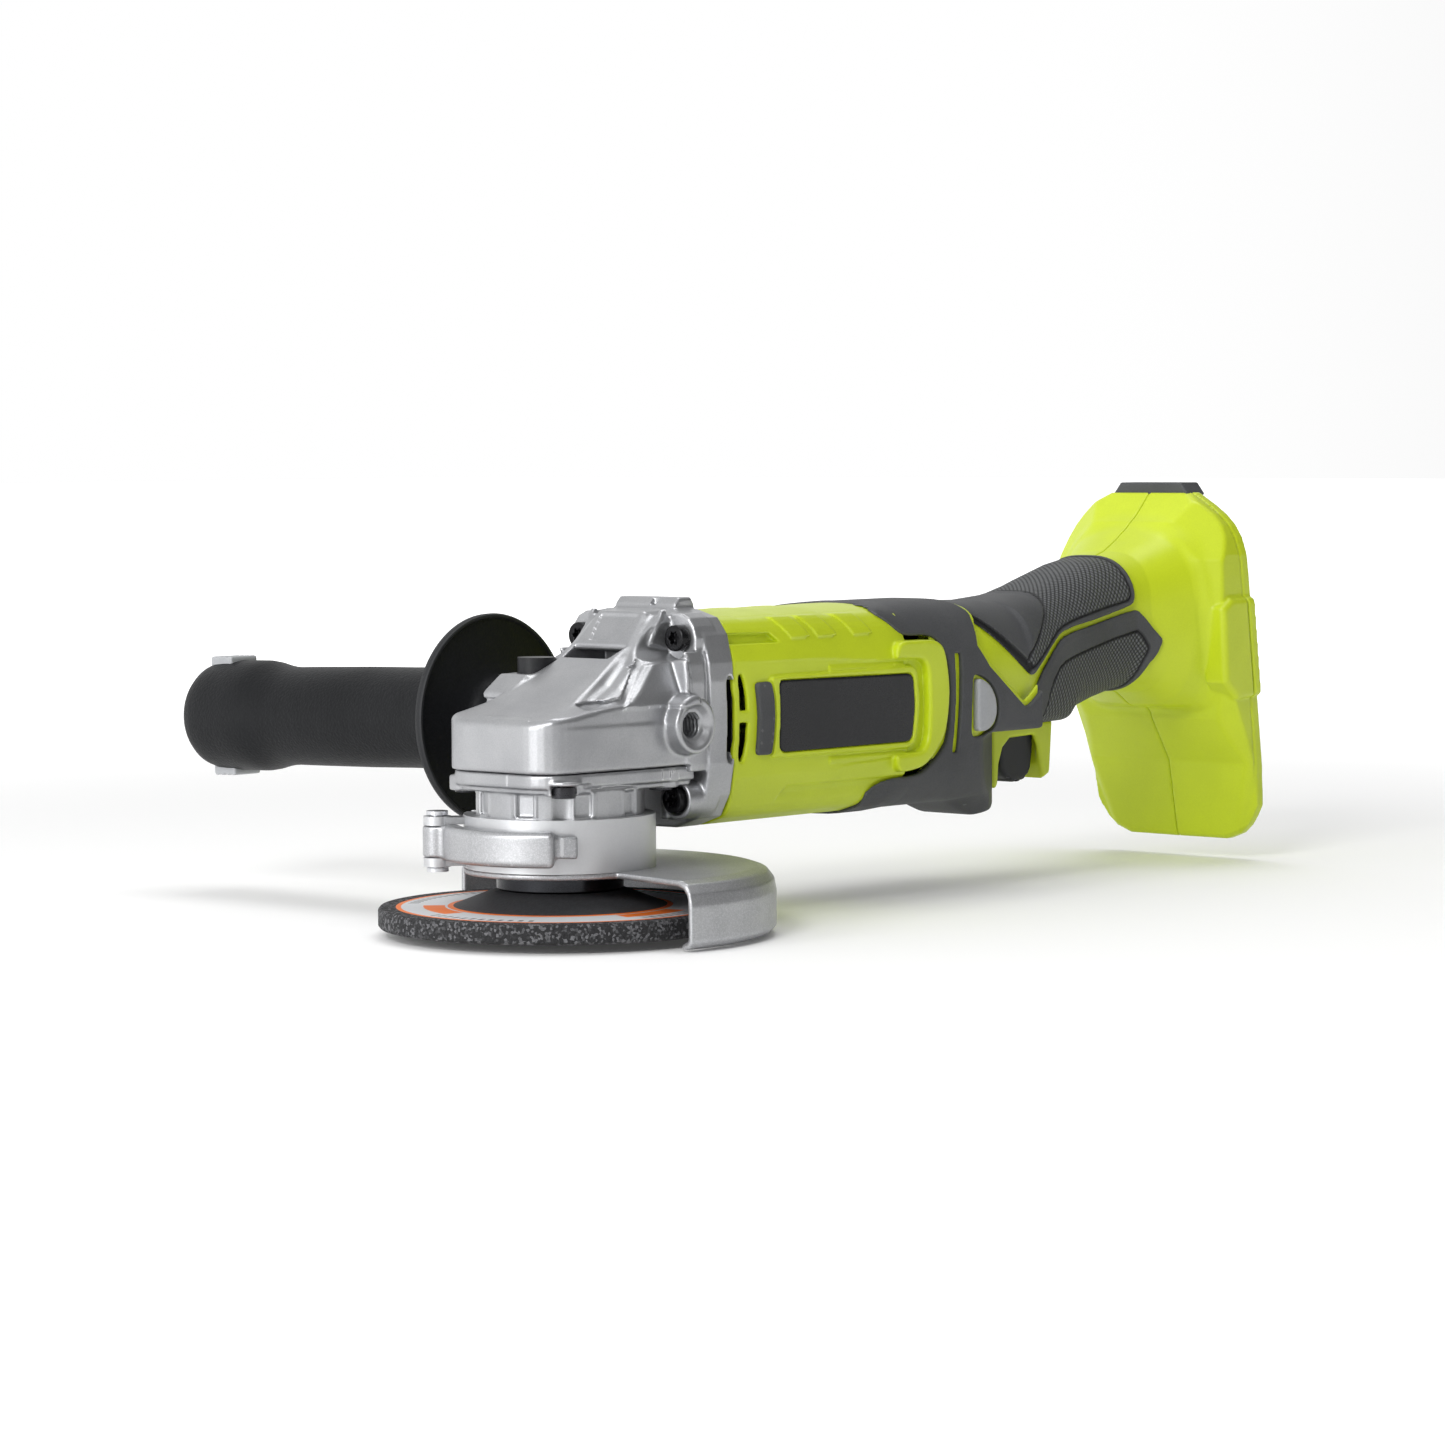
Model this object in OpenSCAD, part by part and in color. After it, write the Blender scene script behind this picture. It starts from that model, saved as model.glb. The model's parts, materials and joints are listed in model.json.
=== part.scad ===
// Cordless angle grinder with a depressed-centre wheel, a quick-release guard and a side handle.
// The origin is on the spindle axis, on the face of the inner flange that the wheel seats against.
// +X runs along the body to the battery foot, +Y to the side handle and +Z up, away from the wheel.

/* [Grinding wheel] */
// Outside diameter of the wheel
wheel_d = 114.3; // [100:0.1:116]
// Thickness of the wheel
wheel_t = 6.35; // [5:0.05:6.4]
// Bore of the wheel
wheel_bore = 22.23; // [22.2:0.01:22.4]
// Depth of the depressed centre
wheel_dish = 5.25; // [4.8:0.05:5.4]

/* [Spindle] */
// Major diameter of the spindle thread
spindle_d = 15.88; // [15.8:0.01:15.9]
// Diameter of the inner flange
flange_d = 40; // [36:0.5:42]
// Bore of the ball bearing round the spindle
lower_bearing_bore = 12; // [11.8:0.1:12]

/* [Bevel gears] */
// Teeth of the driven gear, three for each pinion tooth
gear_teeth = 36; // [36]
// Teeth of the pinion
pinion_teeth = 12; // [12]
// Pitch radius of the driven gear at its outer end
gear_r = 20; // [19.5:0.1:20]

/* [Gear case] */
// Half width of the gear case box
case_half_w = 27.2; // [26.8:0.1:28]
// Distance from the spindle to the front of the gear case
case_front = 31; // [30:0.5:32]
// Diameter of the neck that the guard turns on
neck_d = 52.8; // [52:0.1:53]

/* [Motor housing] */
// Height of the motor axis above the wheel seat
motor_z = 51.5; // [51:0.1:52]
// Half width of the housing
housing_half_w = 30.4; // [30:0.1:31]
// Half height of the housing
housing_half_h = 34.6; // [34:0.1:35]
// Wall of the housing
housing_wall = 2.6; // [2.2:0.1:2.8]
// Outside diameter of the motor can
can_d = 48; // [46:0.5:49]

/* [Handle and foot] */
// Wall of the handle shells
shell_wall = 2.6; // [2.2:0.1:2.8]
// Half width of the battery foot
foot_half_w = 37; // [36:0.5:38]
// Width of the battery socket
socket_w = 34; // [33:0.5:34]
// Height of the battery socket
socket_h = 38; // [36:0.5:38]

/* [Guard] */
// Outside diameter of the guard skirt
guard_d = 136; // [134:0.5:138]
// Sheet thickness of the guard
guard_t = 2; // [1.6:0.1:2.2]
// Angle that the guard covers
guard_angle = 173; // [160:1:180]
// Outside diameter of the clamp band
collar_d = 60.4; // [60:0.1:61]

/* [Side handle] */
// Thread diameter of the side handle
stud_d = 8; // [8]
// Downward tilt of the side handle
handle_tilt = 1.6; // [1:0.1:2]
// Diameter of the hand disc
disc_d = 69; // [66:0.5:70]
// Diameter of the grip barrel
grip_d = 33.6; // [32:0.1:34]

/* [Hidden] */
$fn = 64;
eps = 0.01;
run_gap = 0.05;

// Heights on the spindle axis
wheel_bottom = -wheel_t - wheel_dish;
flange_h = 4.9;
flange_top = 6.1;
neck_bottom = 8.6;
collar_bottom = 7.1;
collar_top = 23.7;
cover_bottom = 32;
cover_top = 38;
lower_bearing_z = 21;
lower_bearing_h = 10;
upper_bearing_z = 52.4;
upper_bearing_h = 6;
lower_bearing_r = 16;
upper_bearing_r = 9.5;
shaft_top = 60;

// Gear train: the pitch cones meet at the crossing of the two axes
pitch_angle = atan(pinion_teeth / gear_teeth);
pinion_r = gear_r * pinion_teeth / gear_teeth;
cone_len = sqrt(gear_r * gear_r + pinion_r * pinion_r);
face_w = 5;
gear_back_z = 38.6;
gap_share = 0.56;

// Gear case
roof_start = 52.4;
roof_top = 86.2;
vent_x = 13.2;
vent_len = 5.8;
vent_half_w = 10.8;
lug_x = 38;
chamber_r = 23.5;
chamber_top = 48.4;
case_screw_x = 30;
case_screw_y = 21.5;
case_screw_z = [79.4, 26.8];

// Lengths along the body
flange_x = 49;
baffle_x = 52;
can_front = 57;
can_back = 119;
housing_end = 150;
overmold_front = 136;
overmold_back = 210;
bracket_end = 157;
handle_x = 28;
handle_z = 50.3;
boss_r = 9;
boss_face = 33;
lock_x = 177;
lock_z = 50;
trigger_x = 222;
trigger_flange_z = 42.2;
switch_z = 50.6;

// Battery foot and its socket
rear_slope = 0.126;
rear_x0 = 334.6;
foot_wall = 3;
socket_z = 75;
socket_inner_x = 270;
mouth_x = 294;
inner_w = 24;
inner_h = 28;
shell_screw_at = [[199, 70, 23.2], [253, 72, 18.6], [318, 106, 33], [321, 40, 35.5]];

// Guard: the lever's pin, the gap in the band and the bolt across it
guard_mid = -14;
guard_a0 = guard_mid - guard_angle / 2;
guard_a1 = guard_mid + guard_angle / 2;
lever_at = [-28.6, 25.6];
lever_turn = atan2(lever_at[1], lever_at[0]);
lever_tip = 232;
lever_bottom = 10.6;
lever_h = 9.6;
lug_turn = 105;
gap_turn = 115;
bolt_r = 34.5;
bolt_z = 12.2;

// Position of the spindle lock button on the far shoulder of the gear case
lock_btn = [10, 19.5];
lock_pin_at = [6.67, 9.49];
lock_pin_r = 1.6;
lock_floor = 50;

// One outline of the body: a squared oval of half width a and half height b
function oval(a, b, e, n = 48) = [
    for (i = [0:n - 1])
        let (c = cos(360 * i / n), s = sin(360 * i / n))
            [a * sign(c) * pow(abs(c), 2 / e), b * sign(s) * pow(abs(s), 2 / e)]
];

// Half an oval ring at one station [x, half width, top z, bottom z], from the bottom to the top
function half_ring(st, side, n = 14) = [
    for (i = [0:n])
        let (
            t = -90 + 180 * i / n,
            c = cos(t),
            s = sin(t),
            z = (st[2] + st[3]) / 2 + (st[2] - st[3]) / 2 * sign(s) * pow(abs(s), 2 / shell_e)
        )
            [st[0] + foot_lean(st[0], z), side * st[1] * pow(abs(c), 2 / shell_e), z]
];

// Closed strip between two offsets of the oval, over the angles from t0 to t1
function pad_ring(st, t0, t1, low, high, e, n = 12) = [
    for (k = [0:2 * n + 1])
        let (
            out = k <= n,
            i = out ? k : 2 * n + 1 - k,
            t = t0 + (t1 - t0) * i / n,
            grow = out ? high : low,
            c = cos(t),
            s = sin(t),
            h = (st[2] - st[3]) / 2
        )
            [st[0], (st[1] + grow) * sign(c) * pow(abs(c), 2 / e),
             (st[2] + st[3]) / 2 + (h + grow) * sign(s) * pow(abs(s), 2 / e)]
];

// Closed solid through rings that all have the same number of points
module loft(rings, flip = false) {
    n = len(rings[0]);
    m = len(rings);
    h = floor(n / 2);
    sides = [
        for (i = [0:m - 2], j = [0:n - 1])
            let (a = i * n + j, b = i * n + (j + 1) % n, c = a + n, d = b + n)
                each [[a, c, b], [b, c, d]]
    ];
    ends = [
        for (j = [0:h - 2], last = [0, 1])
            let (
                o = last * (m - 1) * n,
                quad = [o + j, o + j + 1, o + n - 2 - j, o + n - 1 - j]
            )
                last == 0 ? quad : [quad[3], quad[2], quad[1], quad[0]]
    ];
    faces = concat(sides, ends);
    turned = [for (f = faces) [for (k = [len(f) - 1:-1:0]) f[k]]];
    polyhedron([for (r = rings) each r], flip ? turned : faces);
}

// Bar with the outline given in the YZ plane, from x0 to x1
module along_x(x0, x1) {
    translate([x0, 0, 0])
        rotate([90, 0, 90])
            linear_extrude(x1 - x0)
                children();
}

// Plate with the outline given in the XZ plane, from y0 to y1
module along_y(y0, y1) {
    translate([0, y1, 0])
        rotate([90, 0, 0])
            linear_extrude(y1 - y0)
                children();
}

module tube(r_out, r_in, h) {
    difference() {
        cylinder(r = r_out, h = h);
        translate([0, 0, -1])
            cylinder(r = r_in, h = h + 2);
    }
}

module x_cylinder(r, x0, x1, y = 0, z = motor_z) {
    translate([x0, y, z])
        rotate([0, 90, 0])
            cylinder(r = r, h = x1 - x0);
}

module x_tube(r_out, r_in, x0, x1) {
    translate([x0, 0, motor_z])
        rotate([0, 90, 0])
            tube(r_out, r_in, x1 - x0);
}

// Points on an arc, both ends included
function arc(centre, r, a0, a1, n = 8) = [
    for (i = [0:n])
        let (a = a0 + (a1 - a0) * i / n)
            centre + r * [cos(a), sin(a)]
];

// Plan of the gear case box, with its round front corners
module case_plan(back) {
    corner = 12;
    x = corner - case_front;
    y = case_half_w - corner;
    polygon(concat(
        [[back, -case_half_w], [back, case_half_w]],
        arc([x, y], corner, 90, 180),
        arc([x, -y], corner, 180, 270)
    ));
}

module at_cover_screws() {
    for (x = [-20, 24], side = [-1, 1])
        translate([x, side * 21, 0])
            children();
}

module at_case_screws() {
    for (z = case_screw_z, side = [-1, 1])
        translate([case_screw_x, side * case_screw_y, z])
            rotate([0, 90, 0])
                children();
}

// Frame of the side handle: z along its axis, away from the body, starting at the boss face
module at_handle() {
    translate([handle_x, boss_face, handle_z])
        rotate([-90 - handle_tilt, 0, 0])
            children();
}

// Sloping roof of the gear case as a side profile
module roof_profile() {
    polygon([
        [-case_front, 45], [-case_front, roof_start], [-case_front + 11, 55], [vent_x, 71.8],
        [vent_x + vent_len, 74.8], [29, roof_top], [flange_x + eps, roof_top], [flange_x + eps, 45]
    ]);
}

// Front view of the roof: a ridge between two shoulders
module roof_front() {
    w = case_half_w;
    polygon([[-w, 45], [-w, 57], [-15, 87], [15, 87], [w, 57], [w, 45]]);
}

module gear_case_outer() {
    translate([0, 0, cover_top])
        linear_extrude(roof_start - cover_top)
            case_plan(36);
    intersection() {
        along_y(-case_half_w, case_half_w) roof_profile();
        along_x(-case_front, flange_x) roof_front();
        translate([0, 0, 40])
            linear_extrude(50)
                case_plan(flange_x);
    }
    // flange that the motor housing bolts to, with its lug and screw bosses
    along_x(34, flange_x)
        translate([0, motor_z])
            polygon(oval(housing_half_w, housing_half_h, 4));
    translate([lug_x, -13, 80])
        cube([flange_x - lug_x, 26, 9.6]);
    for (side = [-1, 1]) {
        translate([case_screw_x, side * case_screw_y - 6, 73])
            cube([10, 12, 13]);
        translate([case_screw_x, side * case_screw_y - 5, 20.4])
            cube([10, 10, 11.4]);
    }
}

module handle_boss() {
    at_handle()
        translate([0, 0, -12])
            cylinder(r = boss_r, h = 12);
}

module gear_case() {
    lock_turn = atan2(lock_btn[1] - lock_pin_at[1], lock_btn[0] - lock_pin_at[0]);
    lock_reach = norm(lock_btn - lock_pin_at);
    color("silver")
        difference() {
            union() {
                gear_case_outer();
                handle_boss();
                translate([handle_x, -boss_face, handle_z])
                    rotate([-90, 0, 0])
                        cylinder(r = boss_r, h = 12);
            }
            // gear chamber, with the upper spindle bearing's pocket above it
            translate([0, 0, cover_top - 1])
                cylinder(r = chamber_r, h = chamber_top - cover_top + 1);
            translate([0, 0, chamber_top - 1])
                cylinder(r = upper_bearing_r, h = upper_bearing_z + upper_bearing_h - chamber_top + 1);
            translate([0, 0, 55])
                cylinder(r = 5, h = 6);
            // pinion way, bearing seat and fan chamber along the motor axis
            x_cylinder(9, 12.4, 30);
            x_cylinder(11, 29, 60);
            x_cylinder(27.2, 38.5, 60);
            // threaded holes of the side handle
            at_handle()
                translate([0, 0, -15])
                    cylinder(d = stud_d, h = 16);
            translate([handle_x, -boss_face - 1, handle_z])
                rotate([-90, 0, 0])
                    cylinder(d = stud_d, h = 15);
            // spindle lock: button well, stem guide, lever way and pin way
            translate([lock_btn[0], lock_btn[1], 61])
                cylinder(r = 6.3, h = 30);
            translate([lock_btn[0], lock_btn[1], lock_floor])
                cylinder(r = 3.05, h = 20);
            translate([lock_pin_at[0], lock_pin_at[1], lock_floor])
                rotate(lock_turn)
                    translate([0, -2, 0])
                        cube([lock_reach, 4, 10]);
            translate([lock_pin_at[0], lock_pin_at[1], chamber_top - 1])
                cylinder(r = lock_pin_r + 0.2, h = lock_floor + 12 - chamber_top);
            // air outlet in the ridge
            translate([vent_x, -vent_half_w, 66])
                cube([vent_len, 2 * vent_half_w, 20]);
            // screw ways
            at_cover_screws()
                translate([0, 0, cover_top - 1])
                    cylinder(r = 2.05, h = 12);
            at_case_screws()
                translate([0, 0, -1])
                    cylinder(r = 2.2, h = 40);
            at_case_screws()
                translate([0, 0, -30])
                    cylinder(r = 4.2, h = 31);
        }
}

module bearing_cover() {
    color("silver")
        difference() {
            union() {
                translate([0, 0, cover_bottom])
                    linear_extrude(cover_top - cover_bottom)
                        case_plan(33.6);
                translate([0, 0, neck_bottom])
                    cylinder(d = neck_d, h = cover_bottom - neck_bottom + 1);
            }
            translate([0, 0, lower_bearing_z])
                cylinder(r = lower_bearing_r, h = 40);
            translate([0, 0, neck_bottom - 1])
                cylinder(r = 12, h = 30);
            translate([0, 0, 14])
                cylinder(r = 14, h = 5);
            translate([0, 0, 33])
                cylinder(r = chamber_r, h = 10);
            at_cover_screws()
                translate([0, 0, cover_bottom - 1])
                    cylinder(r = 2.2, h = 10);
            at_cover_screws()
                translate([0, 0, cover_bottom - 4])
                    cylinder(r = 4, h = 6);
            // slots between the ribs of the neck
            for (a = [20:40:340])
                rotate(a)
                    translate([neck_d / 2 - 0.8, -2.5, collar_top + 1])
                        cube([3, 5, cover_bottom - collar_top - 1.4]);
        }
}

module screw(head_r, head_h, shank_r, shank_h, drive_r) {
    difference() {
        union() {
            cylinder(r = head_r, h = head_h);
            translate([0, 0, head_h])
                cylinder(r = shank_r, h = shank_h);
        }
        translate([0, 0, -1])
            cylinder(r = drive_r, h = 1 + head_h * 0.6, $fn = 6);
    }
}

module cover_screws() {
    color("#1c1c1e")
        at_cover_screws()
            translate([0, 0, cover_bottom + 2 - 3.4])
                screw(3.7, 3.4, 2, 12, 1.6);
}

module case_screws() {
    color("#1c1c1e")
        at_case_screws()
            translate([0, 0, -2.6])
                screw(4, 3.6, 2, 30, 1.8);
}

// Barrel outlines
module housing_outline(inset) {
    polygon(oval(housing_half_w - inset, housing_half_h - inset, 4));
}

// Brackets that the dark collar leaves bare, one on each side
module housing_brackets() {
    difference() {
        intersection() {
            along_x(overmold_front - eps, bracket_end)
                translate([0, motor_z]) housing_outline(-0.6);
            for (side = [-1, 1])
                translate([overmold_front - 1, side * 33 - 8, motor_z - 21])
                    cube([bracket_end - overmold_front + 1, 16, 42]);
        }
        along_x(housing_end, bracket_end + 1)
            translate([0, motor_z - 0.4])
                polygon(oval(28.8, 33.2, 4));
    }
}

module motor_housing() {
    color("#c4d21e")
        difference() {
            union() {
                difference() {
                    union() {
                        along_x(flange_x + 0.2, overmold_front)
                            translate([0, motor_z]) housing_outline(0);
                        along_x(overmold_front - eps, housing_end)
                            translate([0, motor_z]) housing_outline(2);
                        housing_brackets();
                    }
                    along_x(flange_x - 1, housing_end + 20)
                        translate([0, motor_z]) housing_outline(housing_wall + 2);
                    along_x(flange_x - 1, baffle_x)
                        translate([0, motor_z]) housing_outline(housing_wall);
                }
                // rings that carry the motor, and posts for the case screws
                for (x = [60, 112])
                    difference() {
                        along_x(x, x + 2.5)
                            translate([0, motor_z]) housing_outline(housing_wall);
                        x_cylinder(can_d / 2 + 0.02, x - 1, x + 4);
                        translate([x - 1, -7, motor_z - 29])
                            cube([5, 14, 58]);
                    }
                at_case_screws()
                    translate([0, 0, flange_x - case_screw_x + 0.2])
                        cylinder(r = 3.4, h = 12);
            }
            // air slots beside the fan
            for (side = [-1, 1], row = [-1, 1])
                translate([54, side * 28 - 8, motor_z + row * 8.5 - 7])
                    cube([3, 16, 14]);
            // pockets of the badges and the pads
            for (side = [-1, 1]) {
                translate([69.5, side * (housing_half_w + 3.6) - 5, motor_z - 12])
                    cube([67, 10, 24]);
                translate([60, side * (housing_half_w + 3.6) - 5, motor_z - 12.5])
                    cube([7, 10, 25]);
            }
            at_case_screws()
                cylinder(r = 2.02, h = 46);
        }
}

module housing_badges() {
    color("#18191b")
        for (side = [-1, 1])
            translate([70, side * (housing_half_w - 0.5) - 0.8, motor_z - 11.5])
                cube([66, 1.6, 23]);
}

module housing_pads() {
    color("#4a4b4e")
        for (side = [-1, 1])
            translate([60.4, side * (housing_half_w - 0.3) - 1, motor_z - 12])
                cube([6.2, 2, 24]);
}

// Handle under its pads: half width, top and bottom against x
handle_w_at = [
    [150.6, 28.2], [185, 28], [207, 25.8], [240, 21], [262, 19], [276, 19.5], [284, 21.5],
    [292, 25.5], [300, 29], [311, 31]
];
handle_top_at = [
    [150.6, 83.6], [185, 83], [207, 82.6], [240, 88], [262, 94.6], [276, 97], [284, 99],
    [292, 103.5], [300, 108], [311, 111]
];
handle_low_at = [
    [150.6, 18.8], [206, 18.6], [207, 36], [240, 38], [246, 44], [262, 48], [276, 51], [284, 50.5],
    [292, 48], [300, 44], [311, 41]
];
handle_x_at = [150.6, 185, 203, 204, 206, 207, 211, 240, 246, 262, 276, 284, 292, 298, 304.9];
top_pad_x = [211, 240, 246, 262, 276];
low_pad_x = [240, 246, 262, 276, 284];
pad_gap = 0.08;
shell_e = 3;

function handle_at(x) = [
    x, lookup(x, handle_w_at), lookup(x, handle_top_at), lookup(x, handle_low_at)
];

// Lean that brings the handle's last rings into the sloping front of the foot
function foot_lean(x, z) =
    let (share = max(0, (x - 276) / 28.9))
        share * (z > 80 ? -0.12 * (z - 80) : 0.24 * (80 - z));

// The same inside the wall: its lower step comes a wall's thickness earlier
function handle_in_at(x) =
    let (out = handle_at(x), low = x < 204 || x > 206 ? out[3] : 36)
        [x, out[1] - shell_wall, out[2] - shell_wall, low + shell_wall];
// Outline of the foot as seen from behind
module foot_outline(inset) {
    w = foot_half_w - inset;
    b = -7.2 + inset;
    t = 121.6 - inset;
    polygon([
        [-w, 9], [-w, 96], [-w + 2, 105], [-w + 7, 112], [-w + 15, 117.5], [-w + 22, t],
        [w - 22, t], [w - 15, 117.5], [w - 7, 112], [w - 2, 105], [w, 96], [w, 9],
        [w - 3, 2], [w - 8, b], [-w + 8, b], [-w + 3, 2]
    ]);
}

function rear_x(z) = rear_x0 - rear_slope * z;

// Front edge of the foot in side view, from the bottom to the top
foot_front = [
    [330.3, -7.2], [329.6, -3.6], [324.4, 21.3], [313.5, 37.8], [307.9, 56.1], [303, 80],
    [300, 104], [301.5, 109.5], [313, 121.6]
];

// Side profile of the foot; the hollow, inset by its wall, stops above the thin lower lip
module foot_profile(inset) {
    first = inset > 0 ? 2 : 0;
    front = [for (i = [first:len(foot_front) - 1]) foot_front[i] + [inset, 0]];
    low = front[0][1];
    top = foot_front[len(foot_front) - 1][1];
    polygon(concat([[rear_x(low) - inset, low]], front, [[rear_x(top) - inset, top]]));
}

module foot_outer(side) {
    intersection() {
        along_y(side > 0 ? 0 : -foot_half_w, side > 0 ? foot_half_w : 0) foot_profile(0);
        along_x(290, 345) foot_outline(0);
    }
    // ledge along the side
    along_y(side > 0 ? foot_half_w - 4 : -39.2, side > 0 ? 39.2 : -foot_half_w + 4)
        polygon([
            [305, 80], [311, 83], [rear_x(83) - 1, 83], [rear_x(47) - 1, 47], [313, 45], [306, 52]
        ]);
}

// Half of the hollow handle: each ring is an outer arc and an inner arc
module handle_skin(side) {
    rings = [
        for (x = handle_x_at)
            let (inner = half_ring(handle_in_at(x), side), n = len(inner))
                concat(half_ring(handle_at(x), side), [for (i = [n - 1:-1:0]) inner[i]])
    ];
    loft(rings, side < 0);
}

// Half of the hollow foot, with an open slot through its front for the socket
module foot_shell(side) {
    difference() {
        foot_outer(side);
        intersection() {
            along_y(side > 0 ? -1 : -foot_half_w, side > 0 ? foot_half_w : 1)
                foot_profile(foot_wall);
            along_x(290, 345) foot_outline(foot_wall);
        }
    }
}

// Walls round the battery socket, a narrow inner part and a wide mouth
module socket_walls(side) {
    intersection() {
        union() {
            translate([socket_inner_x, -inner_w / 2 - 2.2, socket_z - inner_h / 2 - 2.2])
                cube([mouth_x - socket_inner_x, inner_w + 4.4, inner_h + 4.4]);
            translate([mouth_x - 2.4, -socket_w / 2 - 2.4, socket_z - socket_h / 2 - 2.4])
                cube([rear_x(socket_z) - mouth_x, socket_w + 4.8, socket_h + 4.8]);
        }
        half_space(side);
    }
}

module half_space(side) {
    translate([140, side > 0 ? 0 : -60, -20])
        cube([220, 60, 160]);
}

// Positions of the screws that hold the two shells together
module at_shell_screws() {
    for (p = shell_screw_at) {
        $boss_len = p[2];
        translate([p[0], 0, p[1]])
            children();
    }
}

module rear_shell(side) {
    difference() {
        union() {
            handle_skin(side);
            foot_shell(side);
            socket_walls(side);
            // trigger guard and its arch
            along_y(side > 0 ? 0 : -10.5, side > 0 ? 10.5 : 0)
                polygon([
                    [206.5, 16], [211, 12.4], [212, 34], [231, 34], [235, 20.5], [238.5, 22],
                    [240, 41], [206.5, 41]
                ]);
            at_shell_screws()
                rotate([side > 0 ? -90 : 90, 0, 0])
                    cylinder(r = 3.9, h = $boss_len);
        }
        // battery socket
        translate([socket_inner_x - 1, -inner_w / 2, socket_z - inner_h / 2])
            cube([mouth_x - socket_inner_x + 2, inner_w, inner_h]);
        translate([mouth_x, -socket_w / 2, socket_z - socket_h / 2])
            cube([60, socket_w, socket_h]);
        // trigger way
        translate([212.4, -8.6, 10])
            cube([21.2, 17.2, 32]);
        // lock-off button way
        translate([lock_x, 0, lock_z])
            rotate([90, 0, 0])
                cylinder(r = 5.05, h = 80, center = true);
        // screw holes: the heads sit deep in the right shell
        at_shell_screws()
            rotate([90, 0, 0])
                cylinder(r = side > 0 ? 1.75 : 1.62, h = 24, center = true);
        if (side > 0)
            at_shell_screws()
                translate([0, 8, 0])
                    rotate([-90, 0, 0])
                        cylinder(r = 3.1, h = 40);
    }
}

module rear_shell_left() {
    color("#c4d21e") rear_shell(-1);
}

module rear_shell_right() {
    color("#c4d21e") rear_shell(1);
}

module shell_screws() {
    color("#1c1c1e")
        at_shell_screws()
            translate([0, 10.4, 0])
                rotate([90, 0, 0])
                    screw(3, 2.4, 1.6, 18, 1.3);
}

module overmold() {
    color("#4a4b4e")
        difference() {
            union() {
                along_x(overmold_front, overmold_back)
                    translate([0, motor_z - 0.4])
                        polygon(oval(31.2, 34.9, 3.6));
                intersection() {
                    translate([199, 0, 34.2])
                        rotate([90, 0, 0])
                            cylinder(r = 24.2, h = 30, center = true);
                    translate([180, -15, 8])
                        cube([overmold_back - 180, 30, 30]);
                }
            }
            along_x(overmold_front - 1, overmold_back + 5)
                translate([0, motor_z - 0.4])
                    polygon(oval(28.8, 33.2, 4));
            for (side = [-1, 1])
                translate([overmold_front - 1, side * 33 - 8, motor_z - 21.5])
                    cube([bracket_end - overmold_front + 1.5, 16, 43]);
            translate([lock_x, 0, lock_z])
                rotate([90, 0, 0])
                    cylinder(r = 5.05, h = 80, center = true);
            translate([206.2, -10.6, 5])
                cube([20, 21.2, 37]);
        }
}

module grip_top() {
    color("#4a4b4e")
        loft([for (x = top_pad_x) pad_ring(handle_at(x), 12.857, 167.143, pad_gap, 1.7, shell_e)]);
}

module grip_bottom() {
    color("#4a4b4e")
        loft([for (x = low_pad_x) pad_ring(handle_at(x), -167.143, -12.857, pad_gap, 1.7, shell_e)]);
}

module foot_bumper() {
    color("#3c3d40")
        along_x(313.2, 323)
            polygon([[-15.5, 121.7], [-13, 124], [13, 124], [15.5, 121.7]]);
}

// Motor

module motor_can() {
    color("#8d9196")
        difference() {
            x_cylinder(can_d / 2, can_front, can_back);
            x_cylinder(can_d / 2 - 2, can_front + 2, can_back + 1);
            x_cylinder(8, can_front - 1, can_front + 3);
        }
}

module field_magnets() {
    color("#3a3a3c")
        difference() {
            x_tube(can_d / 2 - 2.02, 18.8, 66, 104);
            for (side = [-1, 1])
                translate([60, -6, motor_z + side * 20 - 6])
                    cube([50, 12, 12]);
        }
}

module motor_end_cap() {
    color("#202124")
        difference() {
            x_cylinder(can_d / 2, can_back + 0.02, can_back + 9);
            x_cylinder(8, can_back - 1, can_back + 7);
            x_cylinder(4.6, can_back - 1, can_back + 12);
        }
}

module front_motor_bearing() {
    color("#a9adb2") x_tube(11 - eps, 4 + run_gap, 29.5, 36.5);
}

module rear_motor_bearing() {
    color("#a9adb2") x_tube(8 - eps, 4 + run_gap, can_back + 1, can_back + 6);
}

module brush_holders() {
    color("#b08d3c")
        for (side = [-1, 1])
            difference() {
                translate([106.5, side * 14.9 - 4.9, motor_z - 4])
                    cube([9, 9.8, 8]);
                translate([107.5, side * 14.9 - 6, motor_z - 3])
                    cube([7, 12, 6]);
            }
}

module brushes() {
    color("#2b2b2d")
        for (side = [-1, 1])
            translate([107.6, side * 12.6 - 2.5, motor_z - 2.9])
                cube([6.8, 5, 5.8]);
}

module brush_springs() {
    color("#b9bcc0")
        for (side = [-1, 1])
            translate([111, side * 17.4 - 2.2, motor_z])
                rotate([-90, 0, 0])
                    tube(2.2, 1.4, 4.4);
}

module air_baffle() {
    color("#202124")
        difference() {
            along_x(52.2, 53.8)
                translate([0, motor_z]) housing_outline(housing_wall + 2.05);
            x_cylinder(20, 50, 60);
            at_case_screws()
                cylinder(r = 3.6, h = 46);
        }
}

// Spindle unit and its bearings

module lower_spindle_bearing() {
    color("#a9adb2")
        translate([0, 0, lower_bearing_z + eps])
            tube(lower_bearing_r - eps, lower_bearing_bore / 2 + run_gap, lower_bearing_h);
}

module upper_spindle_bearing() {
    color("#a9adb2")
        translate([0, 0, upper_bearing_z - eps])
            tube(upper_bearing_r - eps, 4 + run_gap, upper_bearing_h);
}

module spindle_seal() {
    color("#2b2b2d")
        translate([0, 0, 14.5])
            tube(14 - eps, 8.5 + run_gap, 4);
}

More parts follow.
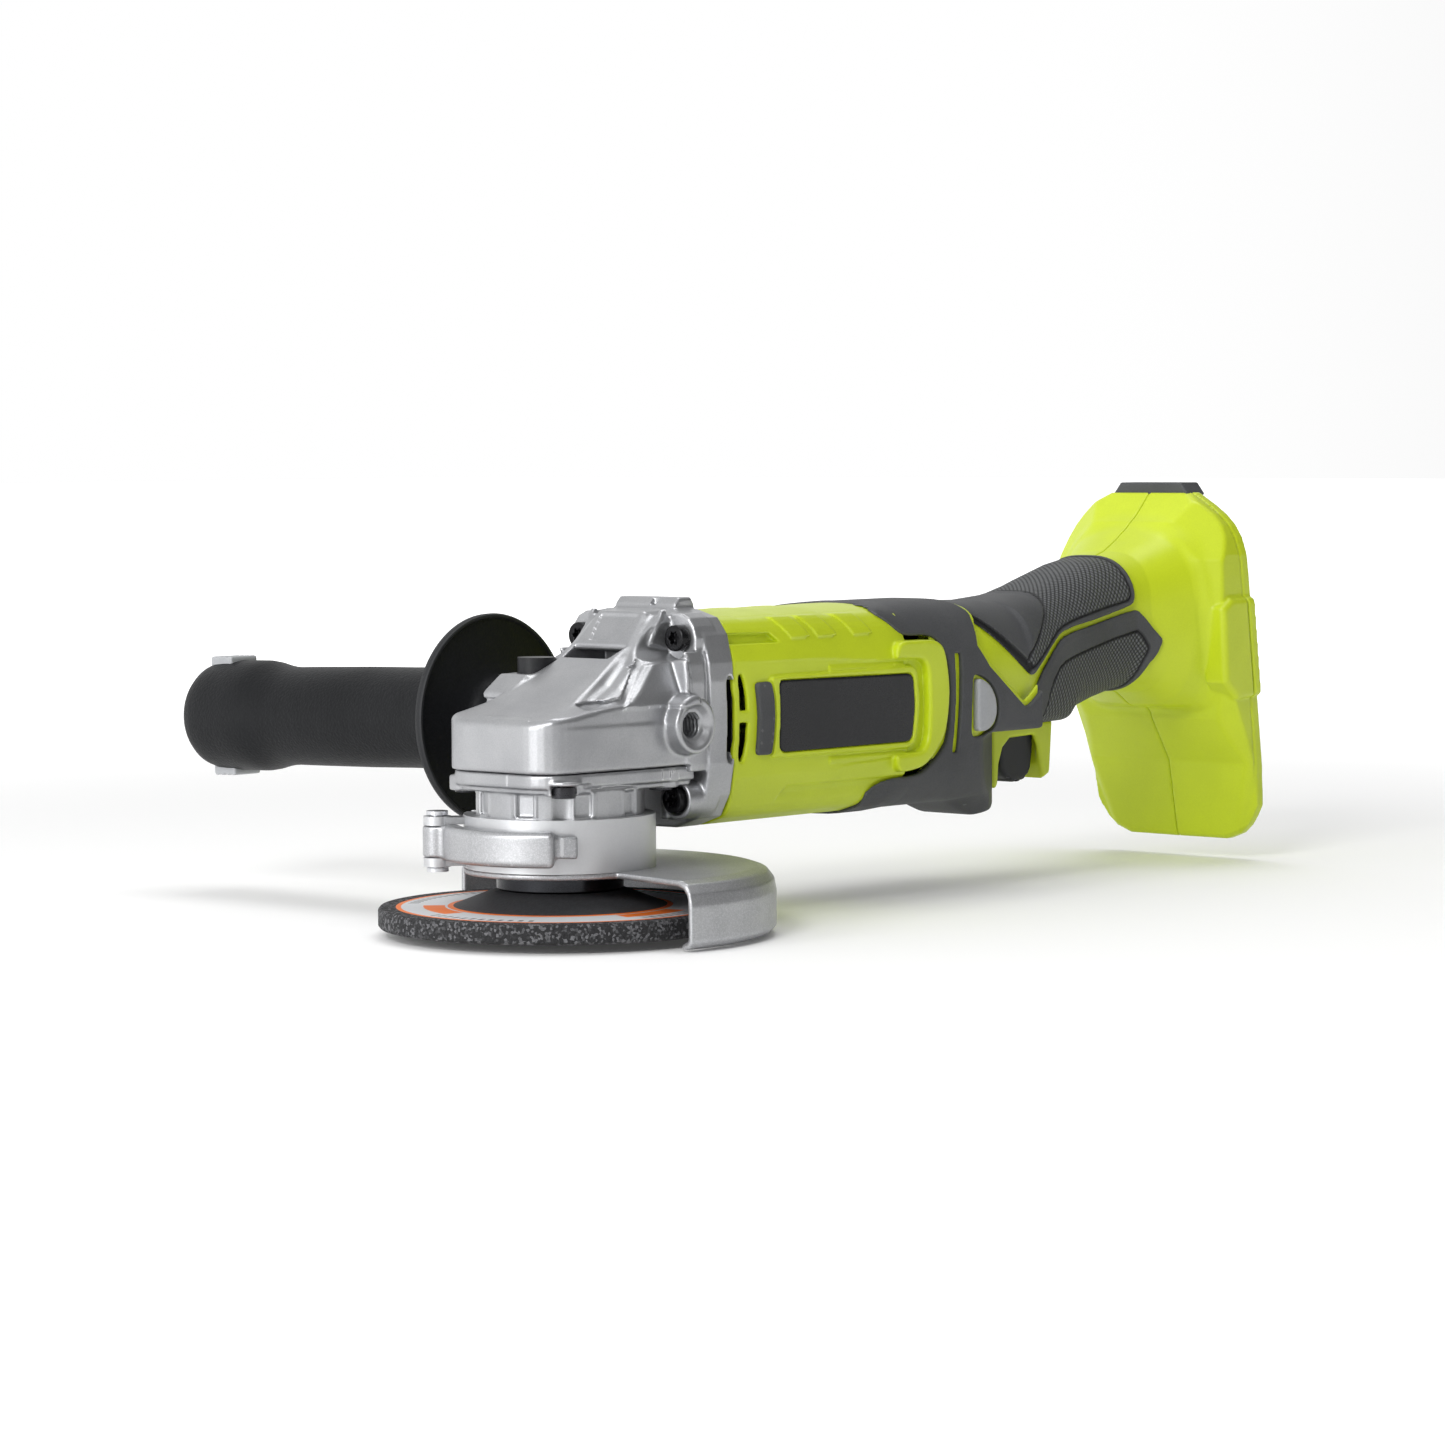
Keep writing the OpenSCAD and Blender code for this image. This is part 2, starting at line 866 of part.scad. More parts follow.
module spindle() {
    color("#8d9196") {
        translate([0, 0, -10.8])
            cylinder(d = spindle_d, h = 21.3);
        translate([0, 0, 10.5])
            cylinder(r = 8.5, h = 10);
        translate([0, 0, 20.5])
            cylinder(d = lower_bearing_bore, h = 17);
        translate([0, 0, 37.5])
            cylinder(r = 5.5, h = 9);
        translate([0, 0, 46.5])
            cylinder(r = 4, h = shaft_top - 46.5);
    }
}

// A tooth gap that follows the pitch cone; the cone's tip is at the origin, its axis is z
// One flank's side of a tooth gap, cut along the pitch cone from the crossing of the axes
module gap_side(cone_angle, half_gap) {
    near = cone_len - face_w;
    for (hand = [-1, 1])
        rotate([0, 0, hand * half_gap])
            rotate([0, cone_angle, 0])
                translate([0, 0, near - 2])
                    linear_extrude(face_w + 4)
                        polygon([
                            [-1.3, -0.47 * hand], [4, 1.46 * hand], [4, -2.5 * hand], [-1.3, -hand]
                        ]);
}

module driven_gear() {
    near = cone_len - face_w;
    web = 6.2;
    back = motor_z - gear_back_z;
    hole_turn = atan2(lock_pin_at[1], lock_pin_at[0]);
    color("#6f7378")
        translate([0, 0, motor_z])
            rotate([180, 0, 0])
                difference() {
                    rotate_extrude()
                        polygon([
                            [5.5 + eps, web], [14, web], [14.8, web - 1.6],
                            [near * cos(pitch_angle) + 0.5, near * sin(pitch_angle) - 0.7],
                            [cone_len * cos(pitch_angle) + 0.2, cone_len * sin(pitch_angle) - 0.9],
                            [gear_r + 0.9, 8.4], [gear_r - 1, back], [5.5 + eps, back]
                        ]);
                    for (i = [0:gear_teeth - 1])
                        rotate([0, 0, 360 * (i + 0.5) / gear_teeth])
                            gap_side(90 - pitch_angle, gap_share * 180 / gear_teeth);
                    // the lock pin enters one of these
                    for (i = [0:11])
                        rotate([0, 0, i * 30 - hole_turn])
                            translate([norm(lock_pin_at), 0, 2])
                                cylinder(r = lock_pin_r + 0.5, h = 20);
                }
}

module pinion() {
    near = cone_len - face_w;
    color("#6f7378")
        translate([0, 0, motor_z])
            rotate([0, 90, 0])
                difference() {
                    rotate_extrude()
                        polygon([
                            [4 + eps, 14.6], [near * sin(pitch_angle) + 0.8, near * cos(pitch_angle) - 0.3],
                            [cone_len * sin(pitch_angle) + 0.8, cone_len * cos(pitch_angle) - 0.3],
                            [6.4, 22.4], [6.4, 25], [4 + eps, 25]
                        ]);
                    for (i = [0:pinion_teeth - 1])
                        rotate([0, 0, 360 * i / pinion_teeth])
                            gap_side(pitch_angle, gap_share * 180 / pinion_teeth);
                }
}

module gear_nut() {
    color("#8d9196")
        translate([0, 0, 46.55])
            difference() {
                cylinder(r = 7, h = 4, $fn = 6);
                translate([0, 0, -1])
                    cylinder(r = 4 + eps, h = 6);
            }
}

module inner_flange() {
    color("#5b5f64")
        rotate_extrude()
            polygon([
                [spindle_d / 2 + eps, -2], [11.05, -2], [11.05, 0], [flange_d / 2, 0],
                [flange_d / 2, flange_h], [flange_d / 2 - 1.3, flange_top], [spindle_d / 2 + eps, flange_top]
            ]);
}

module grinding_wheel() {
    color("#2e2e30")
        rotate_extrude($fn = 96)
            polygon([
                [wheel_bore / 2, -wheel_t], [19, -wheel_t], [33, wheel_bottom], [wheel_d / 2 - 0.6, wheel_bottom],
                [wheel_d / 2, wheel_bottom + 0.8], [wheel_d / 2, -wheel_dish - 0.8], [wheel_d / 2 - 0.6, -wheel_dish],
                [34, -wheel_dish], [20.5, -eps], [wheel_bore / 2, -eps]
            ]);
}

module wheel_nut() {
    color("#5b5f64")
        difference() {
            rotate_extrude()
                polygon([
                    [spindle_d / 2 + eps, -10.4], [17.8, -10.4], [18.6, -9.6], [18.6, -wheel_t - eps],
                    [11.05, -wheel_t - eps], [11.05, -2.6], [spindle_d / 2 + eps, -2.6]
                ]);
            for (a = [0:90:270])
                rotate(a + 45)
                    translate([14, 0, -11])
                        cylinder(r = 2.5, h = 8);
        }
}

// Rotor

module motor_shaft() {
    color("#b9bcc0") x_cylinder(4, 13, can_back + 8);
}

module armature_core() {
    color("#777b80")
        difference() {
            x_tube(18.2, 4 + eps, 68, 98);
            for (i = [0:11])
                translate([0, 0, motor_z])
                    rotate([i * 30, 0, 0])
                        translate([67, -0.9, 11])
                            cube([32, 1.8, 9]);
        }
}

module armature_windings() {
    color("#a5552a") {
        x_tube(15.5, 4 + eps, 61.5, 67.9);
        x_tube(15.5, 4 + eps, 98.1, 103.5);
    }
}

module commutator() {
    color("#b87333") x_tube(9.8, 4 + eps, 105, 117);
}

module cooling_fan() {
    color("#202124") {
        x_tube(8, 4 + eps, 40, 50);
        x_tube(25.8, 7.9, 40, 41.6);
        for (i = [0:14])
            translate([0, 0, motor_z])
                rotate([i * 24, 0, 0])
                    translate([41.5, -0.6, 14])
                        cube([6.5, 1.2, 11.6]);
    }
}

// Guard

module sector(r, a0, a1) {
    mid = (a0 + a1) / 2;
    polygon([[0, 0], r * [cos(a0), sin(a0)], 1.5 * r * [cos((a0 + mid) / 2), sin((a0 + mid) / 2)],
             1.5 * r * [cos(mid), sin(mid)], 1.5 * r * [cos((a1 + mid) / 2), sin((a1 + mid) / 2)],
             r * [cos(a1), sin(a1)]]);
}

module guard_shell() {
    r = guard_d / 2;
    in = r - guard_t;
    color("#c9ccd0")
        intersection() {
            rotate_extrude($fn = 128)
                polygon([
                    [neck_d / 2 + run_gap, collar_bottom - guard_t], [r - 7, collar_bottom - guard_t],
                    [r - 4, 4.2], [r - 2.4, 2], [in, -1], [in, -11], [r - 5.4, -12.6],
                    [r - 4.4, -14.2], [r - 1.6, -13.2], [r, -11.4], [r, -0.6], [r - 0.7, 3.2],
                    [r - 3, 6], [r - 6.4, collar_bottom], [neck_d / 2 + run_gap, collar_bottom]
                ]);
            union() {
                translate([0, 0, -20])
                    linear_extrude(40)
                        sector(r + 30, guard_a0, guard_a1);
                translate([0, 0, 4])
                    cylinder(d = collar_d, h = 6);
            }
        }
}

module guard_collar() {
    ear_in = 0.4;
    ear_t = 2.8;
    color("#c9ccd0")
        difference() {
            union() {
                translate([0, 0, collar_bottom + eps])
                    cylinder(d = collar_d, h = collar_top - collar_bottom);
                // ears of the lever's pin
                for (z = [collar_bottom + ear_in, collar_top - ear_in - ear_t]) {
                    translate([lever_at[0], lever_at[1], z])
                        cylinder(r = 4.4, h = ear_t);
                    rotate(lever_turn)
                        translate([28.5, -3.6, z + 0.3])
                            cube([norm(lever_at) - 28.5, 7.2, ear_t - 0.6]);
                }
                // lugs of the clamp bolt, one on each end of the band
                for (a = [lug_turn, gap_turn * 2 - lug_turn])
                    rotate(a)
                        translate([28.5, -2.2, bolt_z - 3.4])
                            cube([9, 4.4, 6.8]);
            }
            cylinder(r = neck_d / 2 + run_gap, h = 40);
            rotate(gap_turn)
                translate([20, -2, 0])
                    cube([30, 4, 40]);
            translate([lever_at[0], lever_at[1], 0])
                cylinder(r = 2.02, h = 40);
            rotate(gap_turn)
                translate([bolt_r, 0, bolt_z])
                    rotate([90, 0, 0])
                        cylinder(r = 1.62, h = 30, center = true);
        }
}

module lever_pin() {
    color("#b9bcc0")
        translate([lever_at[0], lever_at[1], collar_bottom - 1.2]) {
            cylinder(r = 2, h = collar_top - collar_bottom + 2.4);
            cylinder(r = 3.4, h = 1.19);
            translate([0, 0, collar_top - collar_bottom + 1.22])
                cylinder(r = 3.4, h = 1.2);
        }
}

module clamp_bolt() {
    color("#b9bcc0")
        rotate(gap_turn)
            translate([bolt_r, 0, bolt_z])
                rotate([90, 0, 0]) {
                    translate([0, 0, -8.6])
                        cylinder(r = 1.6, h = 18);
                    translate([0, 0, 9.4])
                        cylinder(r = 3, h = 2.2, $fn = 6);
                }
}

module clamp_lever() {
    inner = collar_d / 2 + 0.5;
    color("#c9ccd0")
        difference() {
            union() {
                intersection() {
                    translate([0, 0, lever_bottom])
                        tube(37.4, inner, lever_h);
                    translate([0, 0, 5])
                        linear_extrude(20)
                            sector(60, lever_turn + 4, lever_tip - 12);
                }
                intersection() {
                    translate([0, 0, lever_bottom + 1.4])
                        tube(33.6, inner, lever_h - 2.8);
                    translate([0, 0, 5])
                        linear_extrude(20)
                            sector(60, lever_tip - 13, lever_tip);
                }
                translate([lever_at[0], lever_at[1], lever_bottom])
                    cylinder(r = 4.4, h = lever_h);
            }
            translate([lever_at[0], lever_at[1], 0])
                cylinder(r = 2 + run_gap, h = 40);
            translate([0, 0, 5])
                cylinder(r = inner, h = 20);
        }
}

// Controls

module trigger() {
    color("#1c1c1e")
        difference() {
            union() {
                along_y(-8, 8)
                    polygon([
                        [213.4, 43], [213.4, 26], [217, 21.6], [223, 19.4], [229, 20.6], [232.4, 26],
                        [232.8, 43]
                    ]);
                translate([210.5, -8, trigger_flange_z])
                    cube([25, 16, 2.4]);
            }
            // finger ribs
            for (i = [0:3])
                translate([215 + i * 4.2, -9, 18.4])
                    rotate([0, 35, 0])
                        cube([1.2, 18, 4]);
        }
}

module trigger_spring() {
    color("#b9bcc0")
        translate([trigger_x + 5, 0, trigger_flange_z + 2.45])
            tube(2.4, 1.7, switch_z - trigger_flange_z - 2.5);
}

module switch_body() {
    color("#202124")
        translate([trigger_x - 10, -7.5, switch_z])
            cube([26, 15, 14]);
}

module control_board() {
    color("#1f5a34")
        translate([186, -9, 64])
            cube([24, 18, 1.6]);
}

module terminal_block() {
    color("#202124")
        translate([socket_inner_x + eps, -inner_w / 2 + 0.1, socket_z - inner_h / 2 + 0.1])
            cube([6, inner_w - 0.2, inner_h - 0.2]);
}

module terminal_blades() {
    color("#c08a3e")
        for (side = [-1, 1])
            translate([socket_inner_x + 6.02, side * 7 - 0.5, socket_z - 7])
                cube([8, 1, 14]);
}

module lock_off_button() {
    color("#9b9da0")
        translate([lock_x, 0, lock_z])
            rotate([90, 0, 0])
                difference() {
                    cylinder(r = 5, h = 66.8, center = true);
                    translate([-6, 2.5, -8])
                        cube([12, 6, 16]);
                }
}

module lock_off_spring() {
    color("#b9bcc0")
        translate([lock_x, -5, lock_z + 7.6])
            rotate([-90, 0, 0])
                tube(1.8, 1.2, 10);
}

module spindle_lock_button() {
    turn = atan2(lock_btn[1] - lock_pin_at[1], lock_btn[0] - lock_pin_at[0]);
    color("#3c3d40") {
        translate([lock_btn[0], lock_btn[1], 65.6])
            cylinder(r = 6, h = 6);
        translate([lock_btn[0], lock_btn[1], 57.2])
            cylinder(r = 3, h = 9);
        translate([lock_pin_at[0], lock_pin_at[1], 57.2])
            rotate(turn)
                translate([0, -1.2, 0])
                    cube([norm(lock_btn - lock_pin_at), 2.4, 2.4]);
        translate([lock_pin_at[0], lock_pin_at[1], 46.6])
            cylinder(r = lock_pin_r, h = 13);
    }
}

module spindle_lock_spring() {
    color("#b9bcc0")
        translate([lock_btn[0], lock_btn[1], lock_floor + eps])
            tube(2.6, 1.9, 57.1 - lock_floor);
}

// Side handle

module handle_stud() {
    color("#b9bcc0")
        at_handle() {
            translate([0, 0, -12])
                cylinder(r = stud_d / 2 - run_gap, h = 12.4);
            translate([0, 0, 0.4])
                cylinder(r = 8, h = 2.6);
            translate([0, 0, 3])
                cylinder(r = 7, h = 9, $fn = 6);
            translate([0, 0, 12])
                cylinder(r = 4, h = 24);
        }
}

module handle_grip() {
    disc_r = disc_d / 2;
    grip_r = grip_d / 2;
    color("#232426")
        at_handle()
            difference() {
                rotate_extrude()
                    polygon([
                        [4.02, 3.1], [11, 3.1], [12, 4], [12.4, 18], [14, 22], [disc_r - 6, 23.6],
                        [disc_r, 22.8], [disc_r, 25.4], [disc_r - 6, 26.4], [22, 27.5],
                        [grip_r + 1, 31], [grip_r, 38], [grip_r + 0.3, 75], [grip_r, 118],
                        [18.8, 130], [19, 152], [18.2, 156], [16, 158.4], [13, 158.4], [13, 46],
                        [4.02, 46]
                    ]);
                translate([0, 0, 3])
                    cylinder(r = 7.02, h = 9.02, $fn = 6);
                // slots of the cap's two tabs
                for (side = [-1, 1])
                    translate([-6.05, side * 15.5 - 5.5, 143.9])
                        cube([12.1, 11, 20]);
            }
}

module handle_cap() {
    color("#a9adb2")
        at_handle()
            difference() {
                union() {
                    translate([0, 0, 144])
                        cylinder(r = 12.95, h = 12);
                    for (side = [-1, 1])
                        translate([-6, side * 15.5 - 5.1, 144])
                            cube([12, 10.2, 11]);
                }
                translate([0, 0, 143])
                    cylinder(r = 10.5, h = 10);
            }
}

gear_case();
bearing_cover();
cover_screws();
case_screws();
motor_housing();
housing_badges();
housing_pads();
rear_shell_left();
rear_shell_right();
shell_screws();
overmold();
grip_top();
grip_bottom();
foot_bumper();
motor_can();
field_magnets();
motor_end_cap();
brush_holders();
brushes();
brush_springs();
front_motor_bearing();
rear_motor_bearing();
air_baffle();
lower_spindle_bearing();
upper_spindle_bearing();
spindle_seal();
switch_body();
control_board();
terminal_block();
terminal_blades();
trigger_spring();
lock_off_spring();
spindle_lock_spring();
spindle();
driven_gear();
gear_nut();
inner_flange();
grinding_wheel();
wheel_nut();
motor_shaft();
armature_core();
armature_windings();
commutator();
cooling_fan();
pinion();
guard_shell();
guard_collar();
lever_pin();
clamp_bolt();
clamp_lever();
trigger();
lock_off_button();
spindle_lock_button();
handle_stud();
handle_grip();
handle_cap();
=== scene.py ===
import json
import math

import bpy
import numpy as np
import openvdb as vdb
from mathutils import Matrix, Vector


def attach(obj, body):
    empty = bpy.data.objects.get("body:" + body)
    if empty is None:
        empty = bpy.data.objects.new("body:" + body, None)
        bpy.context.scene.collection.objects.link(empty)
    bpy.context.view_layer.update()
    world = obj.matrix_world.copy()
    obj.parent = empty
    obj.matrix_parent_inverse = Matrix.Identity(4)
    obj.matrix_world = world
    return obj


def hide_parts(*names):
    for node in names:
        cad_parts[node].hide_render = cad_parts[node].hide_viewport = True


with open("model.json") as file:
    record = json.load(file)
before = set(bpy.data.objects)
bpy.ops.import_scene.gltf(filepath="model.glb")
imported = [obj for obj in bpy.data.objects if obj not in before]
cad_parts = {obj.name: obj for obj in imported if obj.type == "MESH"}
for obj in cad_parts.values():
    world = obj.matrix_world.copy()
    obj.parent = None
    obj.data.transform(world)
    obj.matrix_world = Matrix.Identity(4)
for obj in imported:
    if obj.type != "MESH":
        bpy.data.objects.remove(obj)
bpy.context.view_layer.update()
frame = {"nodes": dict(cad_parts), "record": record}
record = frame["record"]
mm = 0.001

# camera, floor, light
studio = {
    "lens": 106.9,
    "eye": (-966.2, -931.9, 138.4),
    "right": (0.66597, -0.74596, -0.00548),
    "up": (0.05172, 0.03885, 0.99791),
    "forward": (0.74418, 0.66486, -0.06446),
    "floorZ": -14.6,
    "world": 0.13, "horizon": 1.0,
}


def makeCamera(s):
    data = bpy.data.cameras.new("camera")
    data.lens = s["lens"]
    data.sensor_width = 36
    data.clip_end = 50
    data.dof.use_dof = False
    camera = bpy.data.objects.new("camera", data)
    bpy.context.scene.collection.objects.link(camera)
    axes = Matrix((s["right"], s["up"], [-v for v in s["forward"]])).transposed().to_4x4()
    camera.matrix_world = Matrix.Translation(Vector(s["eye"]) * mm) @ axes
    bpy.context.scene.camera = camera


def areaLight(name, place, target, size, watts, tint=(1, 1, 1)):
    data = bpy.data.lights.new(name, "AREA")
    data.shape = "RECTANGLE"
    data.size, data.size_y = size
    data.energy = watts
    data.color = tint
    lamp = bpy.data.objects.new(name, data)
    lamp.location = place
    lamp.rotation_euler = (Vector(target) - Vector(place)).to_track_quat("-Z", "Y").to_euler()
    bpy.context.scene.collection.objects.link(lamp)


# shader wiring
class Wire:
    # a socket of a material's tree; sums and products on it add Math nodes
    def __init__(self, tree, socket=None):
        self.tree = tree
        self.socket = socket

    def node(self, kind, settings=None, out=0, **values):
        made = self.tree.nodes.new("ShaderNode" + kind)
        for name, value in (settings or {}).items():
            if name == "stops":
                while len(made.color_ramp.elements) < len(value):
                    made.color_ramp.elements.new(0.5)
                for stop, (place, tone) in zip(made.color_ramp.elements, value):
                    stop.position = place
                    stop.color = (*tone, 1) if len(tone) == 3 else tone
            else:
                setattr(made, name, value)
        for name, value in values.items():
            port = made.inputs[int(name[1:])] if name[1:].isdigit() else made.inputs[name.replace("_", " ")]
            if isinstance(value, Wire):
                self.tree.links.new(value.socket, port)
            else:
                port.default_value = value
        return Wire(self.tree, made.outputs[out])

    def math(self, operation, *others, clamp=False):
        ports = {f"i{i}": v for i, v in enumerate((self, *others))}
        return self.node("Math", {"operation": operation, "use_clamp": clamp}, **ports)

    def __add__(self, other):
        return self.math("ADD", other)

    def __radd__(self, other):
        return self.math("ADD", other)

    def __sub__(self, other):
        return self.math("SUBTRACT", other)

    def __mul__(self, other):
        return self.math("MULTIPLY", other)

    def __rmul__(self, other):
        return self.math("MULTIPLY", other)

    def __truediv__(self, other):
        return self.math("DIVIDE", other)

    def __gt__(self, other):
        return self.math("GREATER_THAN", other)

    def __lt__(self, other):
        return self.math("LESS_THAN", other)

    def __rsub__(self, other):
        return self.node("Math", {"operation": "SUBTRACT"}, i0=other, i1=self)

    def ease(self, low, high, a=0.0, b=1.0):
        # smooth step from a to b as the value goes from low to high
        return self.node("MapRange", {"interpolation_type": "SMOOTHSTEP"}, i0=self, i1=low, i2=high, i3=a,
                         i4=b)

    def tint(self, first, second):
        # colour between two colours, by this value
        made = self.tree.nodes.new("ShaderNodeMix")
        made.data_type = "RGBA"
        for port, value in ((0, self), (6, first), (7, second)):
            if isinstance(value, Wire):
                self.tree.links.new(value.socket, made.inputs[port])
            else:
                made.inputs[port].default_value = (*value, 1)
        return Wire(self.tree, made.outputs[2])


def linear(hexTone):
    parts = [int(hexTone[i:i + 2], 16) / 255 for i in (0, 2, 4)]
    return tuple(v / 12.92 if v < 0.04045 else ((v + 0.055) / 1.055) ** 2.4 for v in parts)


# what a finish can say: tone, second tone of the mottling, gloss, metal, grain size in mm and its depth
finishes = {
    "cast_head": dict(tone="b4b5b7", other="a4a5a8", rough=0.40, metal=0.86, grain=0.42, depth=0.10,
                      wear="dfe0e2"),
    "guard_sheet": dict(tone="b7b8ba", other="a8a9ac", rough=0.42, metal=0.84, grain=0.5, depth=0.06,
                        wear="d8d9db"),
    "lime_shell": dict(tone="c3d41c", other="bccd18", rough=0.40, metal=0.0, grain=0.5, depth=0.035,
                       wear="d0dd40"),
    "grey_rubber": dict(shine=0.3, tone="4e4f51", other="454648", rough=0.62, metal=0.0, grain=0.45,
                        depth=0.06, wear="68696c"),
    "gloss_black": dict(shine=0.3, tone="101113", other="16171a", rough=0.28, metal=0.0, grain=0.3,
                        depth=0.02),
    "black_plastic": dict(shine=0.3, tone="1b1c1e", other="232427", rough=0.45, metal=0.0, grain=0.6,
                          depth=0.05),
    "trigger_black": dict(shine=0.3, tone="1c1d1f", other="242528", rough=0.42, metal=0.0, grain=0.5,
                          depth=0.05),
    "handle_black": dict(shine=0.16, tone="1b1c1e", other="151618", rough=0.50, metal=0.0, grain=0.8,
                         depth=0.22, wear="4a4b4d"),
    "button_grey": dict(tone="a9abae", other="a0a2a5", rough=0.42, metal=0.0, grain=0.5, depth=0.04,
                        wear="c4c6c8"),
    "black_screw": dict(tone="121214", other="1b1b1e", rough=0.30, metal=0.6, grain=0.4, depth=0.03,
                        wear="3a3a3e"),
    "bright_steel": dict(tone="cfd0d2", other="bfc0c3", rough=0.22, metal=1.0, grain=0.5, depth=0.02),
    "plated_steel": dict(tone="c2c4c8", other="b2b4b9", rough=0.30, metal=1.0, grain=0.5, depth=0.03,
                         wear="e4e5e8"),
    "dark_steel": dict(tone="3a3b3e", other="2f3033", rough=0.24, metal=1.0, grain=0.4, depth=0.02),
    "gear_steel": dict(tone="8a8c90", other="7a7c80", rough=0.32, metal=1.0, grain=0.5, depth=0.03),
    "spring_steel": dict(tone="9b9da1", other="88898d", rough=0.28, metal=1.0, grain=0.5, depth=0.02),
    "abrasive": dict(tone="2c2c2e", other="3c3c3f", rough=0.85, metal=0.0, grain=0.7, depth=0.6),
    "magnet": dict(tone="3c3c3f", other="4a4a4d", rough=0.6, metal=0.3, grain=0.6, depth=0.1),
    "lamination": dict(tone="7d7f84", other="6c6e73", rough=0.42, metal=0.9, grain=0.5, depth=0.05),
    "copper_wire": dict(tone="a85a2c", other="8e4620", rough=0.34, metal=0.9, grain=0.5, depth=0.12),
    "brass_trim": dict(tone="c2a04a", other="a88838", rough=0.30, metal=1.0, grain=0.5, depth=0.03),
    "carbon": dict(tone="242426", other="323234", rough=0.7, metal=0.1, grain=0.4, depth=0.12),
    "seal_rubber": dict(tone="1e1e20", other="28282a", rough=0.7, metal=0.0, grain=0.5, depth=0.06),
    "board": dict(tone="1f6b3a", other="185a30", rough=0.42, metal=0.0, grain=0.5, depth=0.04),
}
materials = {}


def startMaterial(name):
    material = bpy.data.materials.new(name)
    material.use_nodes = True
    tree = material.node_tree
    for node in list(tree.nodes):
        if node.type not in ("BSDF_PRINCIPLED", "OUTPUT_MATERIAL"):
            tree.nodes.remove(node)
    return material, Wire(tree), next(n for n in tree.nodes if n.type == "BSDF_PRINCIPLED")


def connect(wire, value, port):
    if isinstance(value, Wire):
        wire.tree.links.new(value.socket, port)
    elif value is not None:
        port.default_value = value


def grainBump(wire, place, size, depth, extra=None, extraDepth=0.0):
    fine = place.node("TexNoise", None, Vector=place, Scale=1 / (size * mm), Detail=3.0, Roughness=0.6)
    bump = wire.node("Bump", None, Strength=1.0, Distance=depth * 0.3 * mm, Height=fine)
    if extra is not None:
        bump = wire.node("Bump", None, Strength=1.0, Distance=extraDepth * mm, Height=extra, Normal=bump)
    return bump


def finish(slotName, variant=None):
    key = slotName if variant is None else variant.__name__
    if key in materials:
        return materials[key]
    f = finishes[slotName]
    material, wire, shader = startMaterial(key)
    place = wire.node("TexCoord", None, out=3)
    wide = wire.node("TexNoise", None, Vector=place, Scale=38.0, Detail=4.0, Roughness=0.55)
    speck = wire.node("TexNoise", None, Vector=place, Scale=0.9 / (f["grain"] * mm), Detail=2.0)
    mottle = (wide * 0.65 + speck * 0.35).ease(0.36, 0.64)
    colour = mottle.tint(linear(f["tone"]), linear(f["other"]))
    if "wear" in f:
        edge = wire.node("NewGeometry", None, out=7).ease(0.525, 0.60)
        colour = (edge * 0.7).tint(colour, linear(f["wear"]))
    rough = (wide * 0.16 + speck * 0.10) + (f["rough"] - 0.13)
    look = dict(wire=wire, place=place, colour=colour, rough=rough, metal=f["metal"], bump=None,
                grain=f["grain"], depth=f["depth"])
    if variant:
        variant(look)
    connect(wire, look["colour"], shader.inputs["Base Color"])
    connect(wire, look["rough"], shader.inputs["Roughness"])
    connect(wire, look["metal"], shader.inputs["Metallic"])
    normal = look["bump"] or grainBump(wire, place, look["grain"], look["depth"])
    connect(wire, normal, shader.inputs["Normal"])
    shader.inputs["Specular IOR Level"].default_value = f.get("shine", 0.5)
    materials[key] = material
    return material


# solids as distance fields, in mm
def block(low, high, cell):
    # coordinate grids of a box, thin in the two other directions so that plain profiles stay quick
    axes = [np.arange(a, b + cell, cell, dtype=np.float32) for a, b in zip(low, high)]
    return np.meshgrid(*axes, indexing="ij", sparse=True)


def both(a, b, r=0.0):
    if r <= 0:
        return np.maximum(a, b)
    u, v = np.maximum(a + r, 0), np.maximum(b + r, 0)
    return np.minimum(np.maximum(a, b), -r) + np.sqrt(u * u + v * v)


def join(a, b, r=0.0):
    return -both(-a, -b, r)


def cut(a, b, r=0.0):
    return both(a, -b, r)


def span(v, low, high):
    return np.maximum(low - v, v - high)


def outline(u, v, points):
    # signed distance to a closed outline, negative inside
    u, v = np.broadcast_arrays(u, v)
    best = np.full(u.shape, 1e9, np.float32)
    inside = np.zeros(u.shape, bool)
    for (ax, ay), (bx, by) in zip(points, points[1:] + points[:1]):
        ex, ey = bx - ax, by - ay
        wx, wy = u - ax, v - ay
        t = np.clip((wx * ex + wy * ey) / (ex * ex + ey * ey + 1e-12), 0, 1)
        best = np.minimum(best, (wx - ex * t) ** 2 + (wy - ey * t) ** 2)
        if by != ay:
            inside ^= ((v >= ay) != (v >= by)) & ((v - ay) * ex / ey + ax > u)
    return np.where(inside, -1, 1).astype(np.float32) * np.sqrt(best)


def soften(points, times=2):
    # cuts each corner, so that the outline turns in a curve
    for _ in range(times):
        made = []
        for (ax, ay), (bx, by) in zip(points, points[1:] + points[:1]):
            made += [(ax * 0.75 + bx * 0.25, ay * 0.75 + by * 0.25), (ax * 0.25 + bx * 0.75,
                    ay * 0.25 + by * 0.75)]
        points = made
    return points


